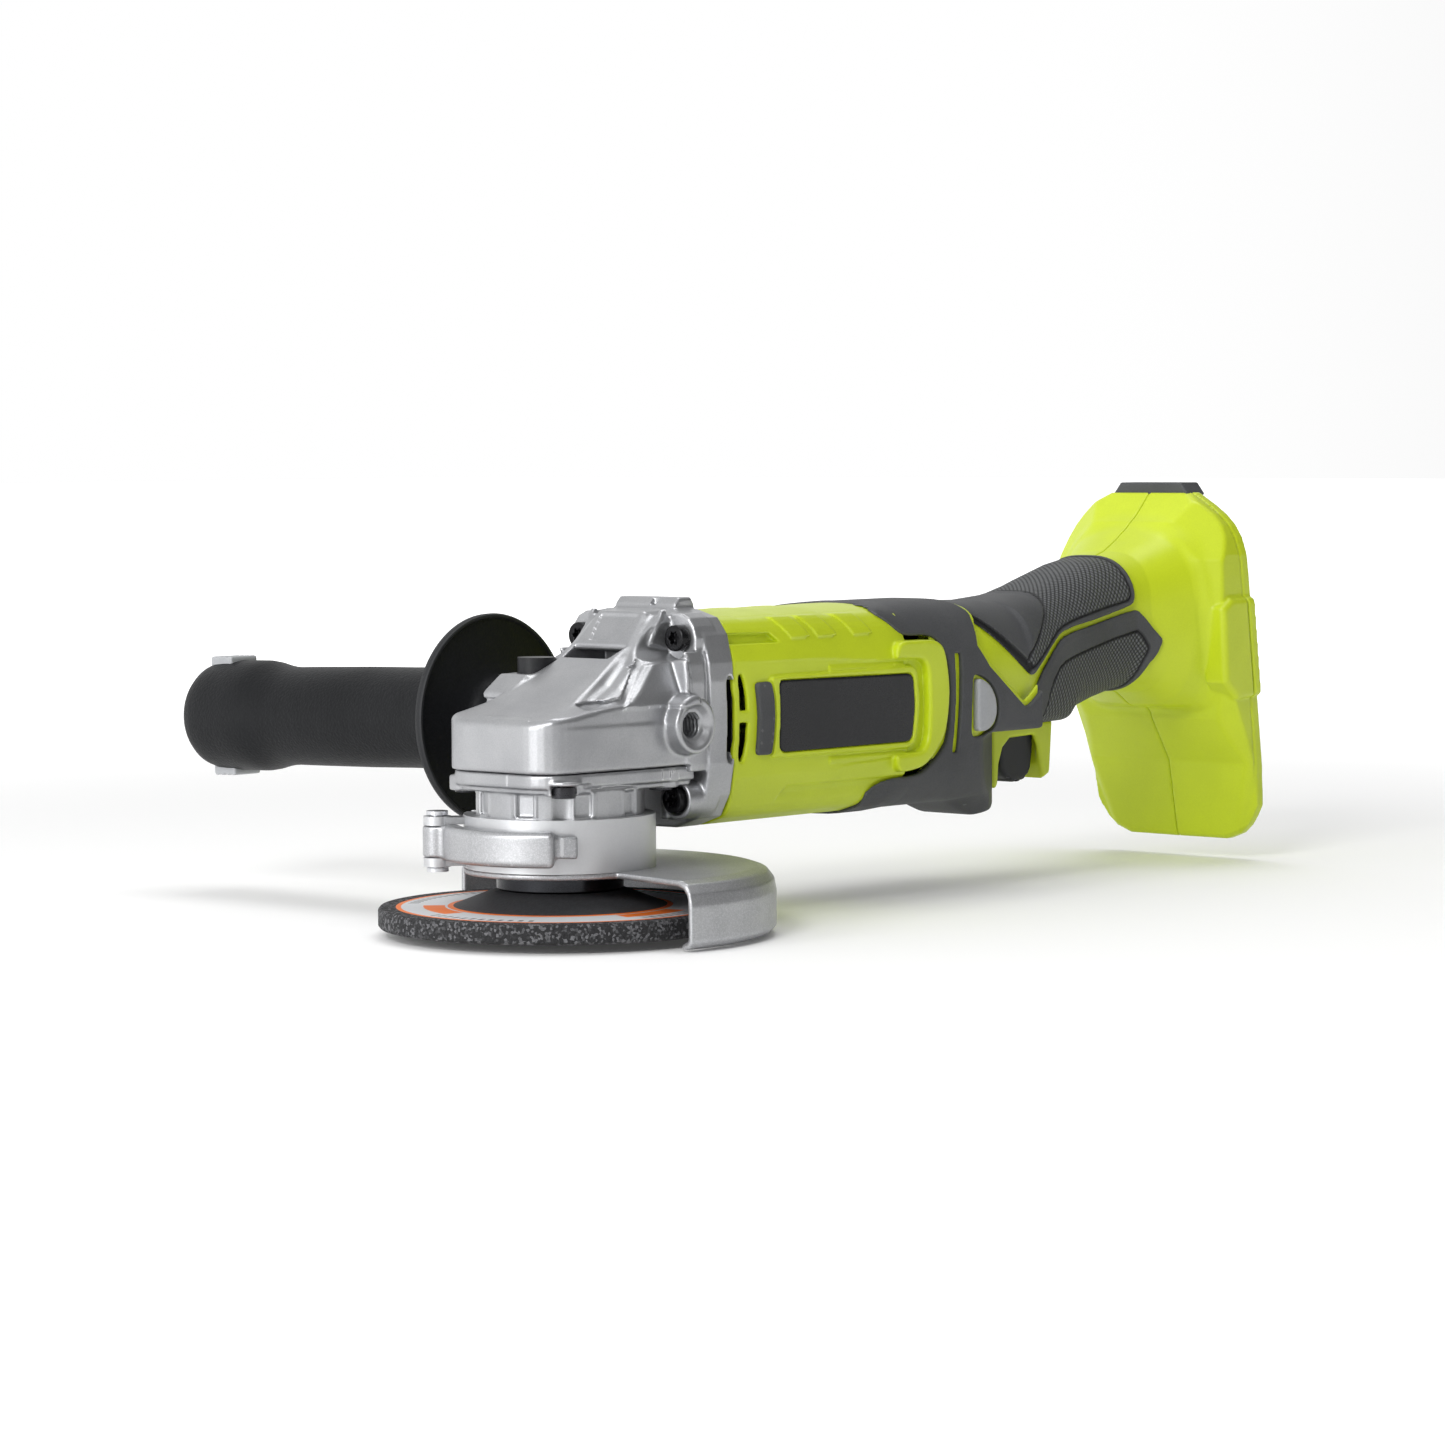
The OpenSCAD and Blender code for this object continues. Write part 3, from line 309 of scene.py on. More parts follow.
def rounded(points, radius):
    # each corner becomes a short curve that starts at the radius from it
    made = []
    for before, corner, after in zip(points[-1:] + points[:-1], points, points[1:] + points[:1]):
        b, c, a = (np.array(v, float) for v in (before, corner, after))
        reachIn = min(radius, np.linalg.norm(b - c) * 0.45)
        reachOut = min(radius, np.linalg.norm(a - c) * 0.45)
        first = c + (b - c) / np.linalg.norm(b - c) * reachIn
        last = c + (a - c) / np.linalg.norm(a - c) * reachOut
        for t in (0, 0.25, 0.5, 0.75, 1):
            made.append(tuple((1 - t) ** 2 * first + 2 * t * (1 - t) * c + t * t * last))
    return made


def mirrored(half):
    return half + [(-a, b) for a, b in reversed(half) if abs(a) > 1e-6]


def superOval(y, z, w, top, low, e):
    # near-true distance to a squared oval whose sizes may change along x
    h, c = (top - low) / 2, (top + low) / 2
    a, b = np.abs(y) / w, np.abs(z - c) / h
    s = np.maximum(a ** e + b ** e, 1e-9)
    value = s ** (1 / e)
    slope = np.sqrt((a ** (e - 1) / w) ** 2 + (b ** (e - 1) / h) ** 2) * s ** (1 / e - 1)
    return ((value - 1) / np.maximum(slope, 1e-4)).astype(np.float32)


def bar(x, y, z, centre, half, r=0.0):
    q = [np.abs(v - c) - h + r for v, c, h in zip((x, y, z), centre, half)]
    out = np.sqrt(np.maximum(q[0], 0) ** 2 + np.maximum(q[1], 0) ** 2 + np.maximum(q[2], 0) ** 2)
    return out + np.minimum(np.maximum(np.maximum(q[0], q[1]), q[2]), 0) - r


def blend(v, table):
    keys, values = zip(*table)
    return np.interp(v, keys, values).astype(np.float32)


def skin(name, field, low, cell, body, slotName, replaced=(), variant=None, marks=None):
    # the surface where the field is zero becomes a mesh piece
    grid = vdb.FloatGrid(3.0)
    grid.copyFromArray(np.ascontiguousarray(field, np.float32))
    points, quads = grid.convertToQuads(isovalue=0.0)
    points = points * cell + np.array(low)
    a, b, c = points[quads[:, 0]], points[quads[:, 1]], points[quads[:, 2]]
    d = points[quads[:, 3]]
    volume = np.einsum("ij,ij->i", a, np.cross(b, c)).sum() + np.einsum("ij,ij->i", a, np.cross(c, d)).sum()
    if volume < 0:
        quads = quads[:, ::-1]
    return piece(name, points, quads, body, slotName, replaced, variant, marks)


def piece(name, points, faces, body, slotName, replaced=(), variant=None, marks=None, smooth=True):
    mesh = bpy.data.meshes.new(name)
    sides = faces.shape[1]
    mesh.vertices.add(len(points))
    mesh.loops.add(len(faces) * sides)
    mesh.polygons.add(len(faces))
    mesh.vertices.foreach_set("co", (points * mm).astype(np.float32).ravel())
    mesh.loops.foreach_set("vertex_index", faces.astype(np.int32).ravel())
    mesh.polygons.foreach_set("loop_start", np.arange(0, len(faces) * sides, sides, dtype=np.int32))
    mesh.polygons.foreach_set("use_smooth", np.full(len(faces), smooth))
    mesh.update(calc_edges=True)
    mesh.validate()
    for label, values in (marks(points) if marks else {}).items():
        mesh.attributes.new(label, "FLOAT", "POINT").data.foreach_set("value", values.astype(np.float32))
    mesh.materials.append(finish(slotName, variant))
    made = bpy.data.objects.new(name, mesh)
    bpy.context.scene.collection.objects.link(made)
    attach(made, body)
    if replaced:
        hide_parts(*replaced)
    print(f"{name}: {len(points)} points")
    return made


def turned(name, profile, body, slotName, replaced=(), variant=None, steps=160, place=None, sharp=32):
    # an outline of (radius, height) turned about the local z axis
    profile = np.array(profile, float)
    n = len(profile)
    angles = np.linspace(0, 2 * np.pi, steps, endpoint=False)
    ring = np.stack([np.cos(angles), np.sin(angles)], 1)
    points = np.zeros((n, steps, 3))
    points[:, :, 0] = profile[:, :1] * ring[:, 0]
    points[:, :, 1] = profile[:, :1] * ring[:, 1]
    points[:, :, 2] = profile[:, 1:]
    index = np.arange(n * steps).reshape(n, steps)
    across = np.roll(index, -1, 1)
    after = np.roll(index, -1, 0)
    faces = np.stack([index, across, np.roll(after, -1, 1), after], 2).reshape(-1, 4)
    area = sum(a[0] * b[1] - b[0] * a[1] for a, b in zip(profile, np.roll(profile, -1, 0)))
    if area < 0:
        faces = faces[:, ::-1]
    points = points.reshape(-1, 3)
    if place is not None:
        points = points @ np.array(place.to_3x3()).T + np.array(place.translation)
    made = piece(name, points, faces, body, slotName, replaced, variant)
    made.data.set_sharp_from_angle(angle=math.radians(sharp))
    return made


makeCamera(studio)

# gear head
head = {
    "cell": 0.5, "halfWidth": 27.2, "noseWidth": 24.9, "front": -28.7, "corner": 12.0, "flangeX": 49.0,
    "spineSide": [(-31.5, 30), (-31.5, 52.5), (-25, 54.6), (-12, 59.2), (2, 66.0), (13, 71.8), (19.4, 75.4),
                  (29.2, 86.2), (49, 86.6), (49, 30)],
    "spineFront": [(23.5, 30), (23.0, 54), (18.6, 58.5), (12.2, 72), (10.2, 86.8)],
    "shoulderSide": [(-31.5, 30), (-31.5, 52.5), (-25, 54.4), (-10, 57.6), (4, 63.4), (14, 69.6),
                     (24, 79.0), (31, 85.2), (49, 86.4), (49, 30)],
    "shoulderFront": [(27.3, 30), (27.3, 56.4), (23.6, 65), (19.0, 77), (15.4, 86.6)],
    "sidePanel": [(1.2, 57.0), (4.2, 59.2), (17.6, 70.0), (23.6, 70.8), (30, 71.4), (30, 57.0)],
    "flange": [(0, 86.6), (15, 86.4), (23.5, 84), (27.6, 78.5), (29.6, 70), (30.2, 64), (30.2, 38),
               (28.4, 28), (24.4, 20.6), (15, 17.2), (0, 17)],
}


def casePlan(x, y, s, grow=0.0, back=49.0):
    # the nose is a little narrower than the rest and has round corners
    w, nose, f, r = s["halfWidth"] + grow, s["noseWidth"] + grow, s["front"] - grow, s["corner"]
    corner = [(f + r - r * math.cos(t), nose - r + r * math.sin(t)) for t in np.linspace(0, math.pi / 2, 9)]
    side = corner + [(14, w), (back, w)]
    return outline(x, y, [(a, -b) for a, b in reversed(side)] + side)


def raised(shape, region, height, r=0.3):
    return join(shape, both(region, shape - height, r), r)


def sunk(shape, region, depth, r=0.2):
    return cut(shape, both(region, -shape - depth, r), r)


def gearHead(s):
    low, cell = (-34, -36, 15), s["cell"]
    x, y, z = block(low, (51, 36, 92.5), cell)
    ay = np.abs(y)
    plan = casePlan(x, y, s)
    box = both(plan, span(z, 38.2, 52.4), 0.9)
    spine = both(outline(x, z, s["spineSide"]), outline(y, z, mirrored(s["spineFront"])), 1.2)
    shoulder = both(outline(x, z, s["shoulderSide"]), outline(y, z, mirrored(s["shoulderFront"])), 4.0)
    shoulder = both(both(shoulder, plan, 1.2), 38.2 - z, 0.8)
    spine = both(both(spine, plan, 1.0), 38.2 - z, 0.8)
    shape = join(join(box, shoulder, 0.6), spine, 2.4)
    # plain block beside the spine on the far side, for the spindle lock
    farBlock = both(outline(x, z, soften([(-7.5, 45), (-7.5, 66.4), (24, 67.0), (24, 45)], 1)),
                    span(y, 9.5, 27.2), 1.6)
    farBlock = both(farBlock, outline(x, y, [(-7.5, 13.5), (-7.5, 27.2), (26, 27.2), (26, 9.0), (14, 9.0),
                                             (-1, 13.5)]), 1.6)
    shape = join(shape, farBlock, 1.0)
    # flange, with the band in front of it
    flange = both(outline(y, z, mirrored(s["flange"])), span(x, 37.2, s["flangeX"]), 0.8)
    band = both(outline(y, z, mirrored(s["flange"])) + 1.3, span(x, 28.6, 44), 0.8)
    lowBand = both(band, z - 84)
    shape = join(shape, join(flange, both(lowBand, both(36 - z, z - 74)), 0.4), 1.6)
    webs = both(both(outline(y, z, mirrored(s["flange"])) + 3.0, span(x, 33.0, 44)), z - 38)
    shape = join(shape, both(webs, np.abs(ay - 14) - 1.6), 0.8)
    lug = both(outline(x, z, [(37.8, 82), (40.2, 88.4), (42.0, 90.2), (47.6, 90.2), (49, 88), (49, 82)]),
               ay - 13.2, 1.0)
    shape = join(shape, lug, 1.0)
    shape = cut(shape, bar(x, y, z, (40.4, -3.4, 89.0), (1.9, 1.4, 1.3), 0.3), 0.2)
    # air outlet under the raised back part of the spine
    way = outline(x, z, [(13.4, 84), (13.4, 64), (32, 64), (32, 73.2), (19.6, 74.0), (17.4, 84)])
    shape = cut(shape, both(way, outline(y, x, [(-11.4, 19.6), (-8.6, 13.0), (10.6, 13.0), (11.2, 19.6),
            (10, 34), (-10, 34)]), 0.2), 0.3)
    panel = outline(y, x, [(-5.9, 20.6), (5.9, 20.6), (8.2, 28.4), (-8.2, 28.4)])
    shape = sunk(shape, both(panel, 74 - z), 0.9, 0.1)
    # side handle bosses with their threaded holes
    for side in (-1, 1):
        up = np.sqrt((x - 28) ** 2 + (z - 50.9) ** 2)
        boss = both(up - 9.0, span(side * y, 15, 33.0), 0.8)
        shape = join(shape, boss, 1.4)
        shape = cut(shape, both(up - 5.4 - np.clip(side * y - 31.0, 0, 2) * 0.9, span(side * y, 30.6, 40)),
                    0.25)
        thread = up - 4.2 - 0.35 * np.sin(side * y * 2 * np.pi / 1.5 + np.arctan2(z - 50.9, x - 28))
        shape = cut(shape, both(thread, span(side * y, 19, 40)), 0.1)
        valley = outline(x, z, [(17.2, 71.6), (19.8, 70.2), (5.6, 58.6), (-10.8, 57.2), (-11.2, 58.6),
                                (2.6, 60.4)])
        shape = sunk(shape, both(valley, 17 - side * y), 1.2, 0.6)
        shape = raised(shape, both(outline(x, z, s["sidePanel"]), 17 - side * y), 0.8, 0.3)
        shape = sunk(shape, both(np.abs(x - 29.2) - 0.45, both(20 - side * y, span(z, 58, 72.5))), 0.6)
        shape = sunk(shape, both(np.abs(x - 37.2) - 0.45, both(20 - side * y, span(z, 56, 73.5))), 0.7)
    # pockets of the case screws, two above and two below
    for side in (-1, 1):
        yy = side * y
        up = np.sqrt((yy - 20.9) ** 2 + (z - 77.8) ** 2)
        seat = both(outline(yy, z, soften([(14, 71.8), (27.2, 71.8), (27.2, 80), (23, 85.5), (14, 86)], 1)),
                    span(x, 34.0, 44), 0.6)
        shape = join(shape, seat, 0.5)
        shape = cut(shape, both(up - 6.9, x - 34.0, 0), 0.8)
        fin = both(outline(x, z, [(25.8, 76), (31.2, 86.6), (33.0, 86.4), (34.6, 80), (34.6, 74)]),
                   np.abs(yy - 14.8) - 0.9, 0.5)
        shape = join(shape, fin, 1.2)
        shape = cut(shape, both(up - 5.6, x - 34.0), 0.3)
        down = np.sqrt((yy - 21.5) ** 2 + (z - 26.8) ** 2)
        pod = both(both(down - 6.2, span(x, 30.6, 44), 0.8), z - 33)
        shape = join(shape, pod, 1.0)
        shape = cut(shape, both(down - 4.7, x - 31.6), 0.4)
    # thin raised outline on the sloping front
    plate = outline(y, x, [(-12.5, -25.2), (-14.5, -28.4), (-1.0, -28.6), (6.5, -25.4)])
    shape = raised(shape, both(plate, 50 - z), 0.5, 0.1)
    # air slits in the flange
    for side in (-1, 1):
        slit = outline(x, z, soften([(45.0, 65.2), (48.4, 65.6), (49.6, 58), (49.6, 45), (48.4, 37.8),
                                     (45.0, 38.2), (45.6, 46), (45.6, 58)], 1))
        shape = cut(shape, both(slit, span(side * y, 26.4, 36)), 0.3)
    # bevel gear chamber, open below, and the fan's room behind
    inner = both(np.sqrt(x * x + y * y) - 23.4, span(z, 36, 48.4))
    shape = cut(shape, inner, 0.3)
    fanRoom = both(np.sqrt(y * y + (z - 51.5) ** 2) - 27.0, span(x, 38.6, 60))
    shape = cut(shape, fanRoom, 0.3)
    # well of the spindle lock button on the far shoulder
    well = both(np.sqrt((x - 10) ** 2 + (y - 19.5) ** 2) - 6.35, 61 - z)
    shape = cut(shape, well, 0.4)
    skin("gearCase", cut(shape, both(z - 38.15, x - 29.8)), low, cell, "housing", "cast_head",
         ["gear_case"], castMetal)
    # a black sheet set inside the air outlet: painted shade for the outlet's deep, unlit inside
    ventLow = (12, -12, 60)
    x, y, z = block(ventLow, (34, 12, 78), cell)
    shadeSheet = both(outline(x, z, [(13.8, 66.4), (31, 68.4), (31, 63), (13.8, 63)]), np.abs(y) - 10.4)
    skin("outletShadeSheet", both(shadeSheet, span(z, 61, 77)), ventLow, cell, "housing", "black_plastic", (), None)


def caseScrews():
    low, cell = (26, -27, 20), 0.3
    x, y, z = block(low, (40, 27, 84), cell)
    ay = np.abs(y)
    shape = x + 400
    for across, height, front in ((20.9, 77.8, 30.4), (21.5, 26.8, 28.4)):
        away = np.sqrt((ay - across) ** 2 + (z - height) ** 2)
        around = np.arctan2(z - height, ay - across)
        headShape = both(away - 4.2, span(x, front, front + 3.6), 0.7)
        star = away - 1.9 - 0.35 * np.cos(6 * around)
        headShape = cut(headShape, both(star, x - front - 2.2), 0.1)
        shape = join(shape, join(headShape, both(away - 2.0, span(x, front + 2, 39.4))))
    skin("caseScrews", shape, low, cell, "housing", "black_screw", ["case_screws"])


def bearingCover(s):
    low, cell = (-34, -36, 7), 0.5
    x, y, z = block(low, (36, 36, 39.5), cell)
    radius = np.sqrt(x * x + y * y)
    turn = np.degrees(np.arctan2(y, x))
    plate = both(casePlan(x, y, s, -0.2, 33.4), span(z, 33.4, 37.85), 0.7)
    below = both(casePlan(x, y, s, -1.6, 33.0), span(z, 31.6, 35), 0.8)
    shape = join(plate, below, 0.4)
    neck = both(radius - 26.4, span(z, 8.7, 33), 0.5)
    shape = join(shape, neck, 0.5)
    groove = np.abs((turn + 20) % 40 - 20) * math.pi / 180 * radius
    channels = both(both(groove - 2.6, 25.4 - radius), span(z, 24.4, 31.5), 0.2)
    shape = cut(shape, channels, 0.35)
    ribs = both(both(np.abs(groove - 3.6) - 0.55, radius - 26.4 - 0.3), both(25 - radius,
            span(z, 24.2, 32)))
    shape = join(shape, ribs, 0.3)
    shape = cut(shape, radius - 15.9, 0.3)
    for cx, cy in ((-20, -21), (-20, 21), (24, -21), (24, 21)):
        d = np.sqrt((x - cx) ** 2 + (y - cy) ** 2)
        shape = join(shape, both(d - 5.4, span(z, 31.2, 36), 0.6), 0.8)
        shape = cut(shape, both(d - 4.2, z - 33.8), 0.4)
        if cx < 0 and cy < 0:
            notch = bar(x, y, z, (cx + 0.5, cy * 1.2, 33.0), (8.0, 5.0, 1.5), 0.4)
            shape = cut(shape, both(notch, -(radius - 27.4)), 0.4)
    skin("bearingCover", shape, low, cell, "housing", "cast_head", ["bearing_cover"], castMetal)


def castMetal(look):
    # fine bead-blasted skin, with slow cloudy drifts in roughness
    wire, place = look["wire"], look["place"]
    beads = place.node("TexVoronoi", {"feature": "SMOOTH_F1"}, Vector=place, Scale=1 / (0.55 * mm),
                       Smoothness=0.6)
    fine = place.node("TexNoise", None, Vector=place, Scale=1 / (0.32 * mm), Detail=3.0)
    look["bump"] = wire.node("Bump", None, Strength=0.9, Distance=0.022 * mm,
                             Height=beads * 0.7 + fine * 0.6)
    cloud = place.node("TexNoise", None, Vector=place, Scale=24.0, Detail=5.0, Roughness=0.6)
    look["rough"] = look["rough"] + (cloud - 0.5) * 0.12


# motor housing
barrel = {
    "cell": 0.5, "start": 49.3, "end": 136.4,
    "section": [(0, 86.0), (7, 85.8), (14, 85.1), (20, 84.2), (24, 82.6), (26.6, 79.2), (27.6, 76),
                (29.2, 71), (30.3, 66.6), (30.3, 36.5), (28.6, 29.5), (27.5, 26), (26.6, 22.6), (24, 20),
                (19, 18.4), (14.6, 17), (0, 16.5)],
    "bracket": [(128, 73.4), (148.8, 73.4), (153.3, 70.2), (155.4, 61), (155.9, 53.7), (153.8, 41.6),
                (143.4, 31.2), (128, 29.5)],
    "bracketIn": [(126, 67.8), (141.6, 67.2), (144.6, 64.2), (145.4, 52), (144.8, 40.5), (142, 36.4),
                  (126, 35.6)],
    "frame": [(66, 64.4), (137.6, 65.2), (140.4, 63.4), (141.8, 52), (139.6, 40), (136.4, 37.8),
              (66, 38.4)],
    "badge": [(70.6, 63.2), (137.0, 62.6), (138.6, 60.8), (139.4, 51.6), (138.0, 41.6), (136.4, 39.8),
              (72.2, 39.8), (70.4, 41.4), (71.0, 51.6)],
    "pad": [(59.2, 62.8), (66.4, 63.0), (67.8, 58), (68.2, 52), (67.6, 45), (66.4, 39.4), (59.4, 39.6),
            (60.2, 46), (60.6, 52), (60.0, 58)],
}


def motorHousing(s):
    low, cell = (43.5, -34, 13), s["cell"]
    x, y, z = block(low, (160, 34, 90), cell)
    ay = np.abs(y)
    wall = outline(y, z, soften(mirrored(s["section"]), 1))
    shape = both(wall, span(x, s["start"], s["end"]), 0.8)
    # slanted scales on the top, and raised slanted panels on the two shoulders
    lean = x + np.clip(ay - 10, 0, 20) * 0.14
    teeth = sum(np.clip((lean - e + 1.0) / 1.0, 0, 1) - np.clip((lean - e + 1.0) / 21.0, 0, 1) for e in (62,
            83, 104))
    shape = both(shape + np.where(z > 79, 0.9 * (0.5 + teeth * 0.5) * np.clip((24 - ay) / 4, 0, 1), 0),
                 x - s["end"])
    for start in (72.7, 86.1, 104.1):
        panel = outline(x, z, [(start, 83.4), (start + 10, 83.2), (start + 16, 76.6), (start + 6.6, 76.2)])
        shape = join(shape, both(both(panel, wall - 0.7), -wall - 3), 0.12)
    groove = both(outline(x, z, [(44, 78.8), (69.4, 78.4), (73.6, 75.2), (44, 75.4)]), both(-wall - 1.9,
            20 - ay))
    shape = cut(shape, groove, 0.25)
    # band along each side, sunk below the shoulders
    band = outline(x, z, [(44, 69.6), (94, 68.9), (113, 67.4), (146, 66.9), (146, 35.2), (107, 34.2),
                          (96, 32.9), (44, 33.6)])
    shape = cut(shape, both(band, both(29.45 - ay, ay - 40)), 0.35)
    for rail in ([(96, 66.4), (134, 66.2), (134, 65.4), (96, 65.0)], [(96, 36.8), (134, 36.4), (134, 35.6),
            (96, 35.0)]):
        shape = join(shape, both(outline(x, z, rail), span(ay, 20, 30.0)), 0.5)
    # bracket round the badge's end
    bracket = both(outline(x, z, rounded(s["bracket"], 5)), span(ay, 22, 32.2), 0.9)
    bracket = cut(bracket, both(outline(x, z, rounded(s["bracketIn"], 3)), 29.0 - ay), 1.2)
    bracket = both(bracket, x - 157)
    shape = join(shape, both(bracket, 24 - ay), 0.5)
    frameRim = both(outline(x, z, rounded(s["frame"], 2.4)), span(ay, 24, 30.6), 0.5)
    shape = join(shape, frameRim, 0.4)
    shape = cut(shape, both(outline(x, z, rounded(s["badge"], 1.8)) - 0.25, 29.6 - ay), 0.15)
    shape = cut(shape, both(outline(x, z, rounded(s["pad"], 1.6)) - 0.9, 29.6 - ay), 0.2)
    # air slits by the fan, with a tab across the middle
    slit = outline(x, z, soften([(51.4, 65.6), (54.2, 65.8), (56.4, 58), (56.6, 46), (54.2, 37.8),
                                 (51.4, 38.0), (52.4, 46), (52.6, 58)], 1))
    slit = cut(slit, np.abs(z - 52.2) - 1.9)
    shape = cut(shape, both(slit, 24 - ay), 0.25)
    edge = outline(x, z, [(44.9, 65), (48.2, 65.2), (50.2, 58), (50.2, 45), (48.2, 38), (44.9, 38)])
    shape = cut(shape, both(edge, 27.4 - ay), 0.2)
    chin = both(outline(x, z, [(66, 19), (76, 28.6), (140, 28.6), (140, 19)]), span(ay, 15, 40))
    shape = cut(shape, both(chin, both(26.9 - ay, -wall - 0.7)), 0.3)
    inner = both(wall + 2.6, span(x, 40, 170))
    shape = cut(shape, inner, 0.3)
    skin("motorHousing", shape, low, cell, "housing", "lime_shell", ["motor_housing"], limePlastic)


def sidePlates(s):
    for side, label in ((-1, "Left"), (1, "Right")):
        low = (56, -33, 36) if side < 0 else (56, 26, 36)
        x, y, z = block(low, (142, low[1] + 7, 66), 0.4)
        ay = np.abs(y)
        badge = both(outline(x, z, rounded(s["badge"], 1.8)) + 0.1, span(ay, 29.5, 30.35), 0.3)
        skin("badge" + label, badge, low, 0.4, "housing", "gloss_black", ["housing_badges"], badgeSheet)
        pad = both(outline(x, z, rounded(s["pad"], 1.6)), span(ay, 28.6, 31.0), 0.9)
        skin("sidePad" + label, pad, low, 0.4, "housing", "grey_rubber", ["housing_pads"], rubber)


def limePlastic(look):
    # spark-eroded mould texture with slow drifts in gloss
    wire, place = look["wire"], look["place"]
    spark = place.node("TexVoronoi", {"feature": "SMOOTH_F1"}, Vector=place, Scale=1 / (0.6 * mm),
                       Smoothness=1.0)
    fine = place.node("TexNoise", None, Vector=place, Scale=1 / (0.35 * mm), Detail=2.0)
    look["bump"] = wire.node("Bump", None, Strength=0.8, Distance=0.014 * mm, Height=spark + fine)
    drift = place.node("TexNoise", None, Vector=place, Scale=14.0, Detail=3.0)
    look["rough"] = look["rough"] + (drift - 0.5) * 0.10


def badgeSheet(look):
    # printed film with a fine orange peel
    wire, place = look["wire"], look["place"]
    peel = place.node("TexNoise", None, Vector=place, Scale=1 / (0.9 * mm), Detail=2.0)
    speck = place.node("TexNoise", None, Vector=place, Scale=1 / (0.3 * mm), Detail=1.0)
    look["colour"] = speck.ease(0.45, 0.62).tint(linear("131417"), linear("1f2023"))
    look["bump"] = wire.node("Bump", None, Strength=0.8, Distance=0.02 * mm, Height=peel)


def rubber(look):
    # soft-touch overmould: dull, finely pitted
    wire, place = look["wire"], look["place"]
    pits = place.node("TexVoronoi", {"feature": "F1"}, Vector=place, Scale=1 / (0.5 * mm))
    fine = place.node("TexNoise", None, Vector=place, Scale=1 / (0.3 * mm), Detail=3.0)
    look["bump"] = wire.node("Bump", None, Strength=0.9, Distance=0.02 * mm, Height=pits * 0.6 + fine)


# rear shells, overmould and pads
rear = {
    "cell": 0.6,
    "width": [(150, 28.2), (185, 28), (207, 25.8), (240, 21.2), (262, 19.2), (276, 19.6), (284, 21.6),
              (292, 25.6), (300, 29.6), (311, 33)],
    "top": [(150, 83.6), (185, 83), (207, 82.6), (226, 84.2), (240, 88), (262, 94.6), (276, 97),
            (284, 99.4), (292, 103.6), (300, 108), (311, 111)],
    "low": [(150, 18.8), (206, 18.6), (208, 36), (240, 38), (246, 44), (262, 48), (276, 51), (284, 50.5),
            (292, 48), (300, 43), (311, 38)],
    "footBack": [(0, 121.7), (15.6, 121.7), (20, 119), (24.7, 116), (29.3, 112.5), (32.9, 108.6),
                 (35.3, 104), (36.8, 98), (37, 90), (37, 21), (36.2, 6), (34.1, 2.2), (31.5, -1.5),
                 (28, -4.6), (22, -7.0), (0, -7.2)],
    "footSide": [(335.4, -7.2), (330.3, -7.2), (329.4, -3.6), (324.4, 21.3), (313.5, 37.8), (307.9, 56.1),
                 (303, 80), (300, 104), (301.5, 109.5), (313.5, 121.6), (319.3, 121.6)],
    "collar": [(142, 95), (137.5, 86.3), (134, 85.8), (128, 84.8), (123.8, 83.0), (128.9, 79.7),
               (133, 76.4), (136.7, 74.8), (149.1, 74.8), (153.4, 72.3), (156.2, 67.5), (157.3, 60.8),
               (157.5, 53.6), (156.6, 39.8), (151.6, 34.2), (145.2, 29.4), (141, 28.2), (125.7, 27.8),
               (117.9, 25), (110, 18), (106, 8), (214, 8), (214, 37), (210, 41.4), (209.6, 50),
               (209.8, 55.6), (207.2, 52.8), (202, 49.2), (199.2, 48.4), (197.4, 49.3), (173.2, 67.8),
               (174.3, 78.2), (176.2, 81.2), (175.0, 84.6), (172.0, 90), (170, 95)],
    "topPad": [(172, 112), (172.5, 90), (176, 84), (178.2, 79.4), (206, 59.3), (208.2, 58.6), (210.5, 59.8),
               (225.4, 71.0), (232.8, 73.6), (256.5, 76.9), (272.5, 80.2), (275.4, 81.8), (276.1, 86),
               (275.4, 92), (274.6, 97), (274.4, 112)],
    "topKnurl": [(203.4, 63.2), (217.2, 75.2), (225, 81.1), (228.6, 85.2), (230.6, 87.8), (231, 112),
                 (271.6, 112), (272.4, 96.6), (272.6, 93.5), (273.7, 85.9), (273.4, 83.2), (270.8, 82.0),
                 (252.3, 79.2), (232, 75.2), (224.9, 72.2), (214.2, 64.6), (208.5, 61.2), (206.4, 61.0)],
    "lowPad": [(210.8, 30), (210.8, 50), (211.6, 56.6), (226.4, 69.0), (233.4, 71.8), (256.8, 75.4),
               (275.3, 78.9), (277.9, 78.4), (287.3, 68.6), (287.5, 67.2), (285.8, 61.9), (283.4, 58.6),
               (281, 50), (281, 30)],
    "lowKnurl": [(218, 30), (219.2, 51.5), (223.0, 57.4), (228.1, 61.8), (238.2, 64.4), (274.5, 71.2),
                 (277.3, 71.4), (281.6, 66.4), (282.3, 64.4), (280.2, 60.6), (278, 50), (277, 30)],
    "buttonSlot": [(169.6, 60.6), (173.6, 60.4), (179.6, 57.6), (183.8, 52.6), (184.4, 46.4), (181.6, 41.8),
                   (177, 39.6), (168.6, 39.4)],
    "button": [(171.4, 59.2), (174.0, 59.0), (179.0, 56.6), (182.6, 52.0), (183.2, 46.8), (180.6, 43.2),
               (176.8, 41.4), (171.4, 41.2)],
    "channel": [(177.2, 80.6), (180.4, 81.4), (208.2, 61.9), (206.6, 59.3), (205.6, 59.6)],
}


def drawnIn(x, y):
    # the sides draw in towards the trigger: positive outside the slanted planes
    return (x - 178) * 0.55 + (np.abs(y) - 28.6) * 0.84


def rearBody(s, low, high, cell):
    x, y, z = block(low, high, cell)
    core = superOval(y, z, blend(x, s["width"]), blend(x, s["top"]), blend(x, s["low"]), 3)
    core = cut(core, both(-drawnIn(x, y) - 1.7, z - 42.2, 3.0), 1.5)
    return x, y, z, core


